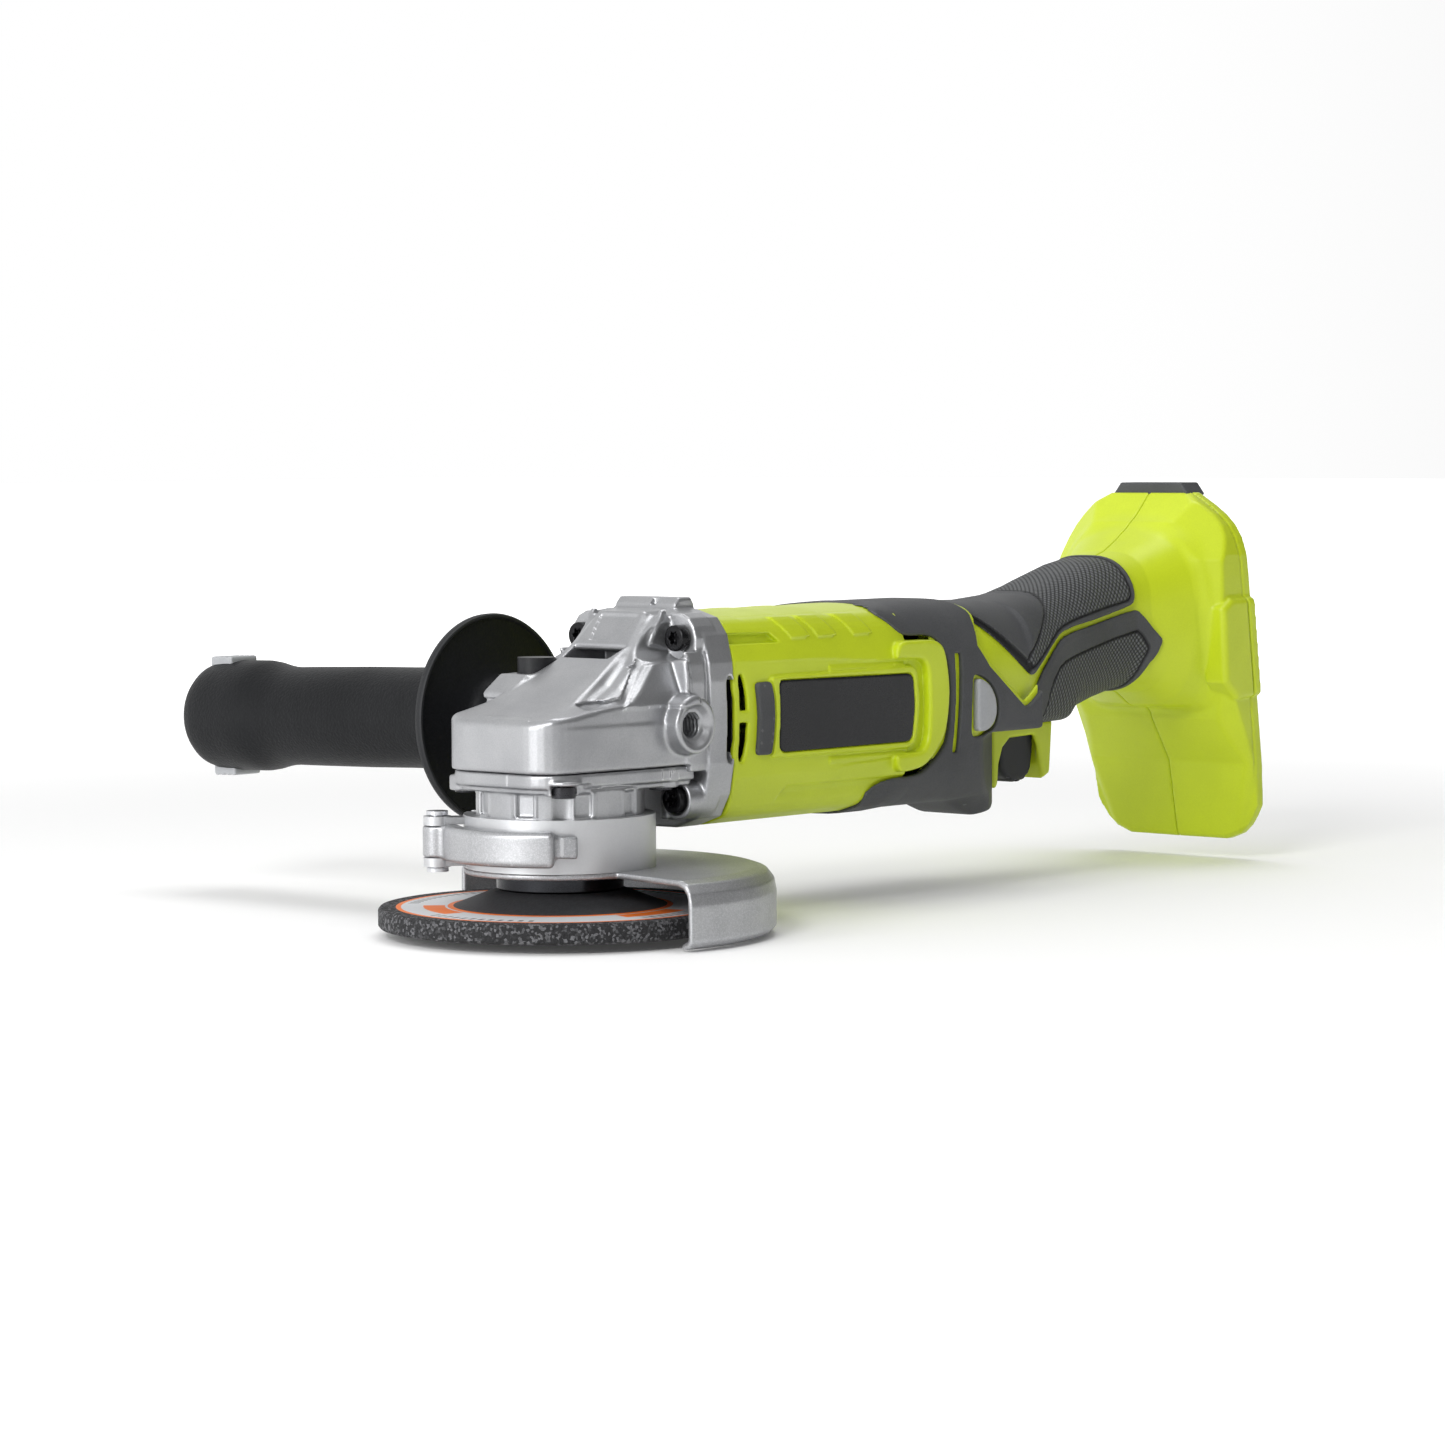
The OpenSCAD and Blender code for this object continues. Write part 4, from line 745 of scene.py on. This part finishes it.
def rearShells(s):
    low, cell = (148, -41, -10), s["cell"]
    x, y, z, core = rearBody(s, low, (339, 41, 126), cell)
    ay = np.abs(y)
    handle = both(core, span(x, 150.6, 312), 0.5)
    side = outline(x, z, s["footSide"])
    lean = 335.4 - 0.126 * (z + 7.2)
    foot = both(side, outline(y, z, mirrored(s["footBack"])), 1.6)
    # the front narrows towards the top and its edges are bevelled
    flare = np.clip((z - 96) * 0.5, 0, 13) + np.clip((60 - z) * 0.32, 0, 22) - np.clip((z - 60) * 0.10,
            -3.0, 0)
    bevel = (ay - 27.6) * 0.55 - (x - 300) * 0.80 + flare
    foot = both(foot, bevel, 0.8)
    foot = both(foot, x - lean, 1.2)
    # bulge where the handle runs into the foot
    swell = np.sqrt((x - 309) ** 2 / 0.9 + (y / 1.15) ** 2 + ((z - 82) / 1.08) ** 2) - 26.0
    shape = join(join(handle, foot, 4.0), swell, 1.6)
    # ledge along each side
    ledge = [(304, 79), (309.5, 82.6), (340, 82.6), (340, 47.2), (313.4, 45.4), (305.6, 52)]
    plate = both(both(outline(x, z, ledge), ay - 39.2, 2.2), x - lean + 0.6)
    plate = both(plate, 30 - ay)
    shape = join(shape, plate, 0.6)
    rim = both(both(outline(y, z, mirrored(s["footBack"])) + 0.0, lean - 4.4 - x), x - lean, 0.8)
    shape = join(shape, rim, 0.3)
    shape = cut(shape, both(np.abs(lean - 4.9 - x) - 0.35, outline(y, z, mirrored(s["footBack"])) * -1
                            - 0.6), 0.2)
    # trigger opening's frame
    post = both(outline(x, z, [(206.2, 20), (208.4, 18.4), (209.4, 20.4), (210, 27), (212.2, 32.6),
                               (216.4, 35.8), (230, 36.2), (231.8, 33), (235, 20.5), (239, 22.4),
                               (240.6, 41), (206.2, 41)]), ay - 10.5, 1.2)
    shape = join(shape, post, 1.5)
    hollow = both(core + 2.6, span(x, 140, 300))
    footRoom = both(both(side + 3.2, outline(y, z, mirrored(s["footBack"])) + 3.2), both(bevel + 3.2,
            x - lean + 3.2))
    hollow = join(hollow, footRoom, 1.0)
    shape = cut(shape, hollow, 0.3)
    socket = both(both(np.abs(y) - 19.4, np.abs(z - 75) - 21.4), span(x, 291.6, 345))
    socket = join(socket, both(both(ay - 14.2, np.abs(z - 75) - 16.2), span(x, 270, 294)))
    socket = both(socket, both(join(core, foot, 7.0) + 0.4, x - lean + 0.3))
    shape = join(shape, socket)
    shape = cut(shape, both(both(ay - 17, np.abs(z - 75) - 19), 294 - x), 0.5)
    shape = cut(shape, both(both(ay - 12, np.abs(z - 75) - 14), 270 - x), 0.5)
    shape = cut(shape, bar(x, y, z, (221.8, 0, 26), (11.8, 8.6, 16.2), 1.0), 0.3)
    shape = cut(shape, both(np.sqrt((x - 177) ** 2 + (z - 50) ** 2) - 5.05, 20 - ay))
    nub = bar(x, y, z, (318.6, 0, 121.2), (6.2, 17.2, 1.6), 0.8)
    shape = cut(shape, nub, 0.2)
    for sideSign, name, node in ((-1, "rearShellLeft", "rear_shell_left"), (1, "rearShellRight",
            "rear_shell_right")):
        half = both(shape, 0.06 - sideSign * y, 0.55)
        skin(name, half, low, cell, "housing", "lime_shell", [node], limePlastic)


def overmould(s):
    low, cell = (117, -34, 7), 0.5
    x, y, z = block(low, (216, 34, 90), cell)
    ay = np.abs(y)
    ring = superOval(y, z, np.float32(31.2), np.float32(85.9), np.float32(16.3), 3.6)
    beyond = drawnIn(x, y)
    section = outline(y, z, soften(mirrored(barrel["section"]), 1)) - 0.9
    share = np.clip((x - 128) / 12, 0, 1)
    outer = section * (1 - share) + ring * share
    region = outline(x, z, soften(s["collar"], 1))
    bump = np.sqrt((x - 198) ** 2 + (z - 33.6) ** 2) - 23.6
    bump = both(bump, ay - 15.5, 6.0)
    shape = join(both(outer, span(x, 100, 208.5), 1.2), both(bump, both(x - 210, z - 40)), 5.0)
    shape = cut(shape, both(-beyond, z - 40.5, 3.0), 1.5)
    shape = both(shape, region, 0.9)
    inside = section + 1.05
    innerRing = superOval(y, z, np.float32(28.6), np.float32(84.2), np.float32(18.2), 4)
    inside = cut(inside * (1 - share) + innerRing * share, both(-beyond - 1.5, z - 42, 3.0), 1.5)
    shape = cut(shape, inside, 0.2)
    # slot with the green shell behind it, lock-off slot, trigger way
    slot = outline(x, z, rounded([(160.3, 68.2), (163.9, 68.2), (163.5, 52), (161.9, 34.6), (158.7, 34.9),
                                  (160.2, 52)], 0.9))
    shape = cut(shape, both(slot, 20 - ay), 0.5)
    button = outline(x, z, rounded(s["buttonSlot"], 3))
    shape = cut(shape, both(button, 20 - ay), 0.6)
    shape = cut(shape, both(both(span(x, 206.0, 230), ay - 10.6), z - 42), 0.4)
    skin("overmould", shape, low, cell, "housing", "grey_rubber", ["overmold"], rubber)
    # green liner that shows in the slots and as the rim of the trigger opening
    liner = both(both(inside - 0.9, -inside - 0.2), span(x, 150, 207.5))
    liner = both(liner, region - 2.0, 0.3)
    liner = cut(liner, both(both(span(x, 206.0, 230), ay - 10.6), z - 42), 0.2)
    liner = cut(liner, both(np.sqrt((x - 177) ** 2 + (z - 50) ** 2) - 5.1, 20 - ay))
    skin("collarLiner", liner, low, cell, "housing", "lime_shell", (), limePlastic)


def gripPads(s):
    low, cell = (170, -31, 28), 0.5
    x, y, z, core = rearBody(s, low, (290, 31, 101), cell)
    pads = [("gripTop", "topPad", "topKnurl", "grip_top"), ("gripBottom", "lowPad", "lowKnurl",
            "grip_bottom")]
    for name, edgeKey, knurlKey, node in pads:
        edge = outline(x, z, soften(s[edgeKey], 1))
        knurl = outline(x, z, soften(s[knurlKey], 1))
        grow = 1.7
        shape = both(both(core - grow, edge, 1.0), -core + 0.02)
        if edgeKey == "topPad":
            shape = both(shape, 40 - z)
        else:
            shape = both(shape, z - 82)
            shape = both(shape, span(x, 209.5, 290))
        shape = cut(shape, both(knurl, -core + grow - 0.28), 0.15)
        shape = cut(shape, both(np.abs(knurl) - 0.4, -core + grow - 0.8), 0.1)
        if edgeKey == "topPad":
            channel = outline(x, z, s["channel"])
            shape = cut(shape, both(channel, -core + grow - 1.1), 0.2)

        def marks(points, key=knurlKey):
            across, height = points[:, 0].astype(np.float32), points[:, 2].astype(np.float32)
            d = outline(across, height, soften(s[key], 1))
            # painted shade: near-black along the sunk groove round the knurl and in the channel, where
            # shade falls into these recesses
            dark = np.clip(1.4 - np.abs(d) / 0.5, 0, 1)
            if key == "topKnurl":
                dark = np.maximum(dark, np.clip(0.5 - outline(across, height, s["channel"]) / 0.5, 0, 1))
            return {"knurl": np.clip(-d / 0.8, 0, 1), "groove": dark}
        skin(name, shape, low, cell, "housing", "grey_rubber", [node], knurledRubber, marks)


def knurledRubber(look):
    # rows of small diamonds inside the marked area, smooth rubber outside; their colour holds painted
    # light, a painted highlight on each diamond's top and painted shade in its valleys
    wire, place = look["wire"], look["place"]
    rubber(look)
    parts = wire.node("SeparateXYZ", None, Vector=place)
    x = parts * 1.0
    y = Wire(wire.tree, parts.socket.node.outputs[1])
    z = Wire(wire.tree, parts.socket.node.outputs[2])
    turn = wire.node("Math", {"operation": "ARCTAN2"}, i0=z - 0.068, i1=y)
    along = x * (math.pi / (2.0 * mm))
    around = turn * (22.0 * math.pi / 2.0)
    rows = (along + around).math("SINE") * (along - around).math("SINE")
    mask = wire.node("Attribute", {"attribute_name": "knurl"}, out=2)
    height = (rows.math("ABSOLUTE").math("POWER", 0.6)) * mask
    look["bump"] = wire.node("Bump", None, Strength=1.0, Distance=0.34 * mm, Height=height,
                             Normal=look["bump"])
    # painted light of the knurl: tops painted lighter, valleys painted darker, as light and shade would
    # fall on the relief
    shade = height * 0.9 + 0.1
    look["colour"] = (mask * height).tint(look["colour"], linear("6e7072"))
    look["colour"] = (mask * (1 - shade)).tint(look["colour"], linear("0c0d0e"))
    # painted shade in the border groove and the channel, read from the groove attribute
    dark = wire.node("Attribute", {"attribute_name": "groove"}, out=2)
    look["colour"] = (dark * 0.85).tint(look["colour"], linear("060607"))


def smallBlackParts():
    # nub on the foot's top
    low, cell = (311, -18, 117), 0.4
    x, y, z = block(low, (326, 18, 125.4), cell)
    nub = both(outline(y, z, [(-17.0, 119.6), (-13.6, 124.0), (13.6, 124.0), (17.0, 119.6), (14, 118.5),
                              (-14, 118.5)]), span(x, 312.8, 323.8), 0.7)
    skin("footNub", nub, low, cell, "housing", "grey_rubber", ["foot_bumper"], rubber)
    # trigger with finger ribs
    low, cell = (209, -11, 16), 0.4
    x, y, z = block(low, (237, 11, 46), cell)
    ay = np.abs(y)
    face = soften([(213.4, 43), (213.4, 27), (215.6, 22.8), (219.6, 20.2), (224, 19.6), (229, 20.8),
                   (232.2, 25.6), (232.8, 43)], 1)
    shape = both(outline(x, z, face), ay - 8.0, 1.6)
    for i in range(5):
        shape = cut(shape, both(np.abs((x - 216.5 - i * 3.3) + (z - 20) * 0.55) - 0.55, both(z - 25.5,
                -outline(x, z, face) - 0.9)), 0.35)
    shape = join(shape, bar(x, y, z, (223, 0, 43.4), (12.3, 8.0, 1.2), 0.4), 0.4)
    skin("triggerLever", shape, low, cell, "trigger", "trigger_black", ["trigger"])
    # lock-off button: a shaped pad on each end of a crosswise pin
    low, cell = (166, -34, 38), 0.5
    x, y, z = block(low, (187, 34, 63), cell)
    ay = np.abs(y)
    cap = outline(x, z, rounded(rear["button"], 2))
    shape = both(cap, span(ay, 27.0, 32.0 - np.clip((x - 176) * 0.16, 0, 1.4)), 0.9)
    shape = join(shape, both(np.sqrt((x - 177) ** 2 + (z - 50) ** 2) - 4.9, ay - 30))
    shape = cut(shape, both(np.abs(x - 178.6) - 0.5, both(31.6 - ay, np.abs(z - 49) - 5)), 0.2)
    skin("lockOffButton", shape, low, cell, "lock_off", "button_grey", ["lock_off_button"])


gearHead(head)
bearingCover(head)
caseScrews()
motorHousing(barrel)
sidePlates(barrel)
rearShells(rear)
overmould(rear)
gripPads(rear)
smallBlackParts()

# guard, lever and wheel
guard = {"radius": 68.0, "sheet": 2.0, "from": -100.5, "to": 72.5, "cell": 0.6}


def guardShell(s):
    low, cell = (-42, -69.5, -16), s["cell"]
    x, y, z = block(low, (69.5, 69.5, 9), cell)
    radius = np.sqrt(x * x + y * y)
    r, t = s["radius"], s["sheet"]
    profile = [(26.5, 5.1), (r - 7, 5.1), (r - 4, 4.2), (r - 2.4, 2), (r - t, -1), (r - t, -11),
               (r - 5.4, -12.6), (r - 4.6, -14.2), (r - 1.6, -13.2), (r - 0.05, -11.4), (r - 0.05, -0.6),
               (r - 0.8, 3.2), (r - 3, 6), (r - 6.4, 7.1), (26.5, 7.1)]
    sheet = outline(radius, z, profile)
    a0, a1 = math.radians(s["from"]), math.radians(s["to"])
    first = x * math.sin(a0) - y * math.cos(a0)
    last = -x * math.sin(a1) + y * math.cos(a1)
    opened = both(first, last) if a1 - a0 < math.pi else join(first, last)
    shape = both(sheet, opened, 0.5)
    ringPlate = both(both(radius - 30.2, 26.5 - radius), span(z, 5.1, 7.1), 0.3)
    shape = join(shape, ringPlate)
    skin("guardShell", shape, low, cell, "guard", "guard_sheet", ["guard_shell"], sheetMetal)


def guardLever():
    low, cell = (-41, -38, 4), 0.4
    x, y, z = block(low, (0, 34, 27), cell)
    radius = np.sqrt(x * x + y * y)
    turn = np.degrees(np.arctan2(y, x)) % 360
    arcWide = both(both(radius - 37.2, 30.75 - radius), span(z, 9.6, 20.6), 1.8)
    arcWide = both(arcWide, both((turn - 221) * 0.6, (139 - turn) * 0.6), 1.5)
    tip = both(both(radius - 33.4, 30.75 - radius), span(z, 12.2 - (turn - 225) * 0.02, 19.2), 1.0)
    tip = both(tip, both((turn - 233.5) * 0.55, (205 - turn) * 0.55), 0.9)
    shape = join(arcWide, tip, 1.6)
    knuckle = both(np.sqrt((x + 28.6) ** 2 + (y - 25.6) ** 2) - 4.6, span(z, 10.5, 20.3), 0.8)
    shape = join(shape, knuckle, 2.0)
    shape = cut(shape, np.sqrt((x + 28.6) ** 2 + (y - 25.6) ** 2) - 2.05)
    skin("guardLever", shape, low, cell, "guard_lever", "guard_sheet", ["clamp_lever"], sheetMetal)


def sheetMetal(look):
    # silver paint over pressed steel: orange peel and fine flake
    wire, place = look["wire"], look["place"]
    peel = place.node("TexNoise", None, Vector=place, Scale=1 / (1.1 * mm), Detail=2.0)
    flake = place.node("TexVoronoi", {"feature": "F1"}, Vector=place, Scale=1 / (0.3 * mm), out=1)
    glint = wire.node("SeparateColor", None, Color=flake)
    look["bump"] = wire.node("Bump", None, Strength=0.8, Distance=0.018 * mm, Height=peel + glint * 0.3)
    look["colour"] = glint.ease(0.55, 0.9, 0, 0.35).tint(look["colour"], linear("d9dadd"))


def grindingWheel():
    r = 57.15
    profile = [(11.1, -6.3), (19, -6.3), (33, -11.55), (r - 0.6, -11.55), (r, -10.8), (r, -6.1),
               (r - 0.6, -5.3), (34, -5.25), (20.5, -0.02), (11.1, -0.02)]
    made = turned("grindingWheel", profile, "spindle_unit", "abrasive", ["grinding_wheel"], gritWheel,
                  steps=192, sharp=25)
    return made


def gritWheel(look):
    # coarse grit on the rim, a label ring of plain bands, dark moulded hub
    wire, place = look["wire"], look["place"]
    parts = wire.node("SeparateXYZ", None, Vector=place)
    x = parts * 1000.0
    y = Wire(wire.tree, parts.socket.node.outputs[1]) * 1000.0
    z = Wire(wire.tree, parts.socket.node.outputs[2]) * 1000.0
    radius = (x * x + y * y).math("SQRT")
    angle = wire.node("Math", {"operation": "ARCTAN2"}, i0=y, i1=x)
    grit = place.node("TexVoronoi", {"feature": "F1"}, Vector=place, Scale=1 / (1.15 * mm))
    small = place.node("TexVoronoi", {"feature": "F1"}, Vector=place, Scale=1 / (0.5 * mm))
    tone = place.node("TexVoronoi", {"feature": "F1"}, Vector=place, Scale=1 / (0.8 * mm), out=1)
    glint = wire.node("SeparateColor", None, Color=tone)
    gritTone = glint.ease(0.55, 1.0).tint(linear("242426"), linear("6a6a6d"))
    upper = z > -5.6
    label = (radius > 33.6) * (radius < 51.6) * upper
    fibre = wire.node("TexWave", {"wave_type": "BANDS", "bands_direction": "DIAGONAL"}, Vector=place,
                      Scale=260.0, Distortion=1.5)
    paper = fibre.ease(0.2, 0.8).tint(linear("d9dbdd"), linear("b9bcc0"))
    orange = linear("e9731c")
    rims = ((radius > 50.0) * (radius < 51.7) + (radius > 33.4) * (radius < 35.4)).math("MINIMUM", 1.0)
    wedge = (angle * 3.0).math("SINE").ease(0.55, 0.62) * (radius > 36.2) * (radius < 43.0)
    bars = (angle * 90.0).math("SINE").ease(0.0, 0.3) * (radius > 45.2) * (radius < 48.6) * (angle * 4.0
            + 0.8).math("SINE").ease(-0.2, 0.0)
    face = rims.tint(paper, orange)
    face = wedge.tint(face, orange)
    face = (bars * 0.8).tint(face, linear("2e2f32"))
    hub = (radius < 33.6)
    smoke = place.node("TexNoise", None, Vector=place, Scale=1 / (1.6 * mm), Detail=4.0)
    hubTone = smoke.tint(linear("2b2c2e"), linear("454649"))
    colour = hub.tint(gritTone, hubTone)
    look["colour"] = label.tint(colour, face)
    look["rough"] = 0.86 - label * 0.34 - hub * 0.26
    flat = (1 - label) * (1 - hub * 0.85)
    rough = (1 - grit) * 0.8 + small * 0.5
    look["bump"] = wire.node("Bump", None, Strength=1.0, Distance=0.55 * mm, Height=rough * flat)


guardShell(guard)
guardLever()
grindingWheel()
flangeEdge = [(8.0, -1.9), (11.0, -1.9), (11.0, 0), (19.4, 0), (20, 0.6), (20, 4.3), (19.4, 4.9),
              (17.2, 4.9), (17.2, 6.0), (8.0, 6.0)]
turned("innerFlange", flangeEdge, "spindle_unit", "dark_steel", ["inner_flange"], steps=128)

# side handle
gripFrame = Matrix.Translation((28, 33, 50.3)) @ Matrix.Rotation(math.radians(-91.6), 4, "X")
gripOutline = [(4.02, 3.1), (11, 3.1), (12, 4), (12.4, 18), (13.0, 20.2), (15, 21.6), (20, 22.4),
               (28.5, 23.6), (32.6, 23.4), (33.2, 22.6), (34.1, 22.6), (34.5, 23.4), (34.4, 25.0),
               (33.6, 25.6), (28.5, 26.4), (22, 27.5), (19.4, 29), (17.7, 31.6), (16.95, 36), (16.8, 42),
               (16.75, 60), (16.9, 80), (16.8, 105), (16.7, 116), (16.9, 120), (17.6, 124.5), (18.5, 128.5),
               (18.95, 132), (19, 138), (19, 148), (18.7, 152.6), (17.9, 155.8), (16.6, 157.8),
               (15.4, 158.36), (13, 158.36), (13, 46), (4.02, 46)]


def pebbled(look):
    # coarse moulded leather-like pebble with a soft sheen
    wire, place = look["wire"], look["place"]
    pebble = place.node("TexVoronoi", {"feature": "SMOOTH_F1"}, Vector=place, Scale=1 / (0.95 * mm),
                        Smoothness=0.5)
    fine = place.node("TexNoise", None, Vector=place, Scale=1 / (0.4 * mm), Detail=3.0)
    look["bump"] = wire.node("Bump", None, Strength=1.0, Distance=0.10 * mm,
                             Height=(1 - pebble) + fine * 0.4)


turned("sideHandleGrip", gripOutline, "side_handle", "handle_black", ["handle_grip"], pebbled, steps=160,
       place=gripFrame, sharp=50)


def handleCap():
    low, cell = (14, 174, 22), 0.4
    x, y, z = block(low, (43, 195, 72), cell)
    tilt = math.radians(1.6)
    c, sine = math.cos(tilt), math.sin(tilt)
    along = (y - 33) * c - (z - 50.3) * sine
    across = (y - 33) * sine + (z - 50.3) * c
    ax = x - 28
    radius = np.sqrt(ax * ax + across * across)
    cup = both(radius - 12.9, span(along, 144, 156), 0.8)
    cup = cut(cup, both(radius - 10.5, along - 153))
    edge = 20.0 + 0.55 * np.abs(np.sin((along - 144) * np.pi / 2.75))
    tabs = both(both(np.abs(ax) - 6.0, np.abs(across) - edge), span(along, 144.2, 154.8), 0.5)
    shape = join(cup, both(tabs, 11 - np.abs(across)), 0.3)
    skin("handleCap", shape, low, cell, "side_handle", "button_grey", ["handle_cap"])


handleCap()

# CAD nodes that keep their own shape
for entry in record["subparts"]:
    node = frame["nodes"][entry["node"]]
    if node.hide_render:
        continue
    node.data.materials.clear()
    node.data.materials.append(finish(entry["material_slot"]))

# pale floor with a painted glow: its emission grows from faint near the tool to strong far off, so the far
# floor turns as white as the backdrop
floorMaterial, floorWire, floorShader = startMaterial("studioFloor")
floorShader.inputs["Base Color"].default_value = (0.96, 0.96, 0.96, 1)
floorPlace = floorWire.node("TexCoord", None, out=3)
floorFar = floorWire.node("VectorMath", {"operation": "DISTANCE"}, out=1, i0=floorPlace, i1=(0.14, 0.05,
        -0.0146))
connect(floorWire, floorFar.ease(0.35, 1.5).tint((0.04, 0.04, 0.04), (0.85, 0.85, 0.85)),
        floorShader.inputs["Emission Color"])
floorShader.inputs["Emission Strength"].default_value = 1.0
floorShader.inputs["Roughness"].default_value = 0.9
floorMesh = bpy.data.meshes.new("studioFloor")
floorSize = 14
floorCorners = [(-floorSize, -floorSize, 0), (floorSize, -floorSize, 0), (floorSize, floorSize, 0),
                (-floorSize, floorSize, 0)]
floorMesh.from_pydata(floorCorners, [], [(0, 1, 2, 3)])
floorMesh.materials.append(floorMaterial)
floor = bpy.data.objects.new("studioFloor", floorMesh)
floor.location = (0, 0, studio["floorZ"] * mm)
bpy.context.scene.collection.objects.link(floor)


def makeWorld(s):
    # plain studio: white behind the tool and on its far left, greyer towards the near right
    world = bpy.data.worlds.new("studio")
    world.use_nodes = True
    wire = Wire(world.node_tree)
    view = wire.node("TexCoord", None, out=0)
    parts = wire.node("SeparateXYZ", None, Vector=view)
    y = Wire(wire.tree, parts.socket.node.outputs[1])
    z = Wire(wire.tree, parts.socket.node.outputs[2])
    far = (parts * -0.22 + y * 0.97).ease(-0.25, 0.42, s["world"], s["horizon"])
    top = z.ease(0.25, 0.8, 0.0, 0.55)
    level = far * (1 - top) + top * 0.55
    back = next(n for n in world.node_tree.nodes if n.type == "BACKGROUND")
    back.inputs[1].default_value = 1.0
    wire.tree.links.new(level.tint((0, 0, 0), (1, 1, 1)).socket, back.inputs[0])
    bpy.context.scene.world = world


makeWorld(studio)
bpy.context.scene.view_settings.view_transform = "Standard"
areaLight("softboxKey", (-1.55, -0.6, 1.1), (0.14, 0, 0.05), (0.6, 0.6), 16)
areaLight("softboxLeft", (-1.7, 0.1, 0.45), (0.0, 0, 0.04), (0.7, 0.7), 11)
areaLight("softboxTop", (0.35, 0.05, 1.6), (0.14, 0, 0.04), (0.9, 0.6), 7)

print("pieces ready")
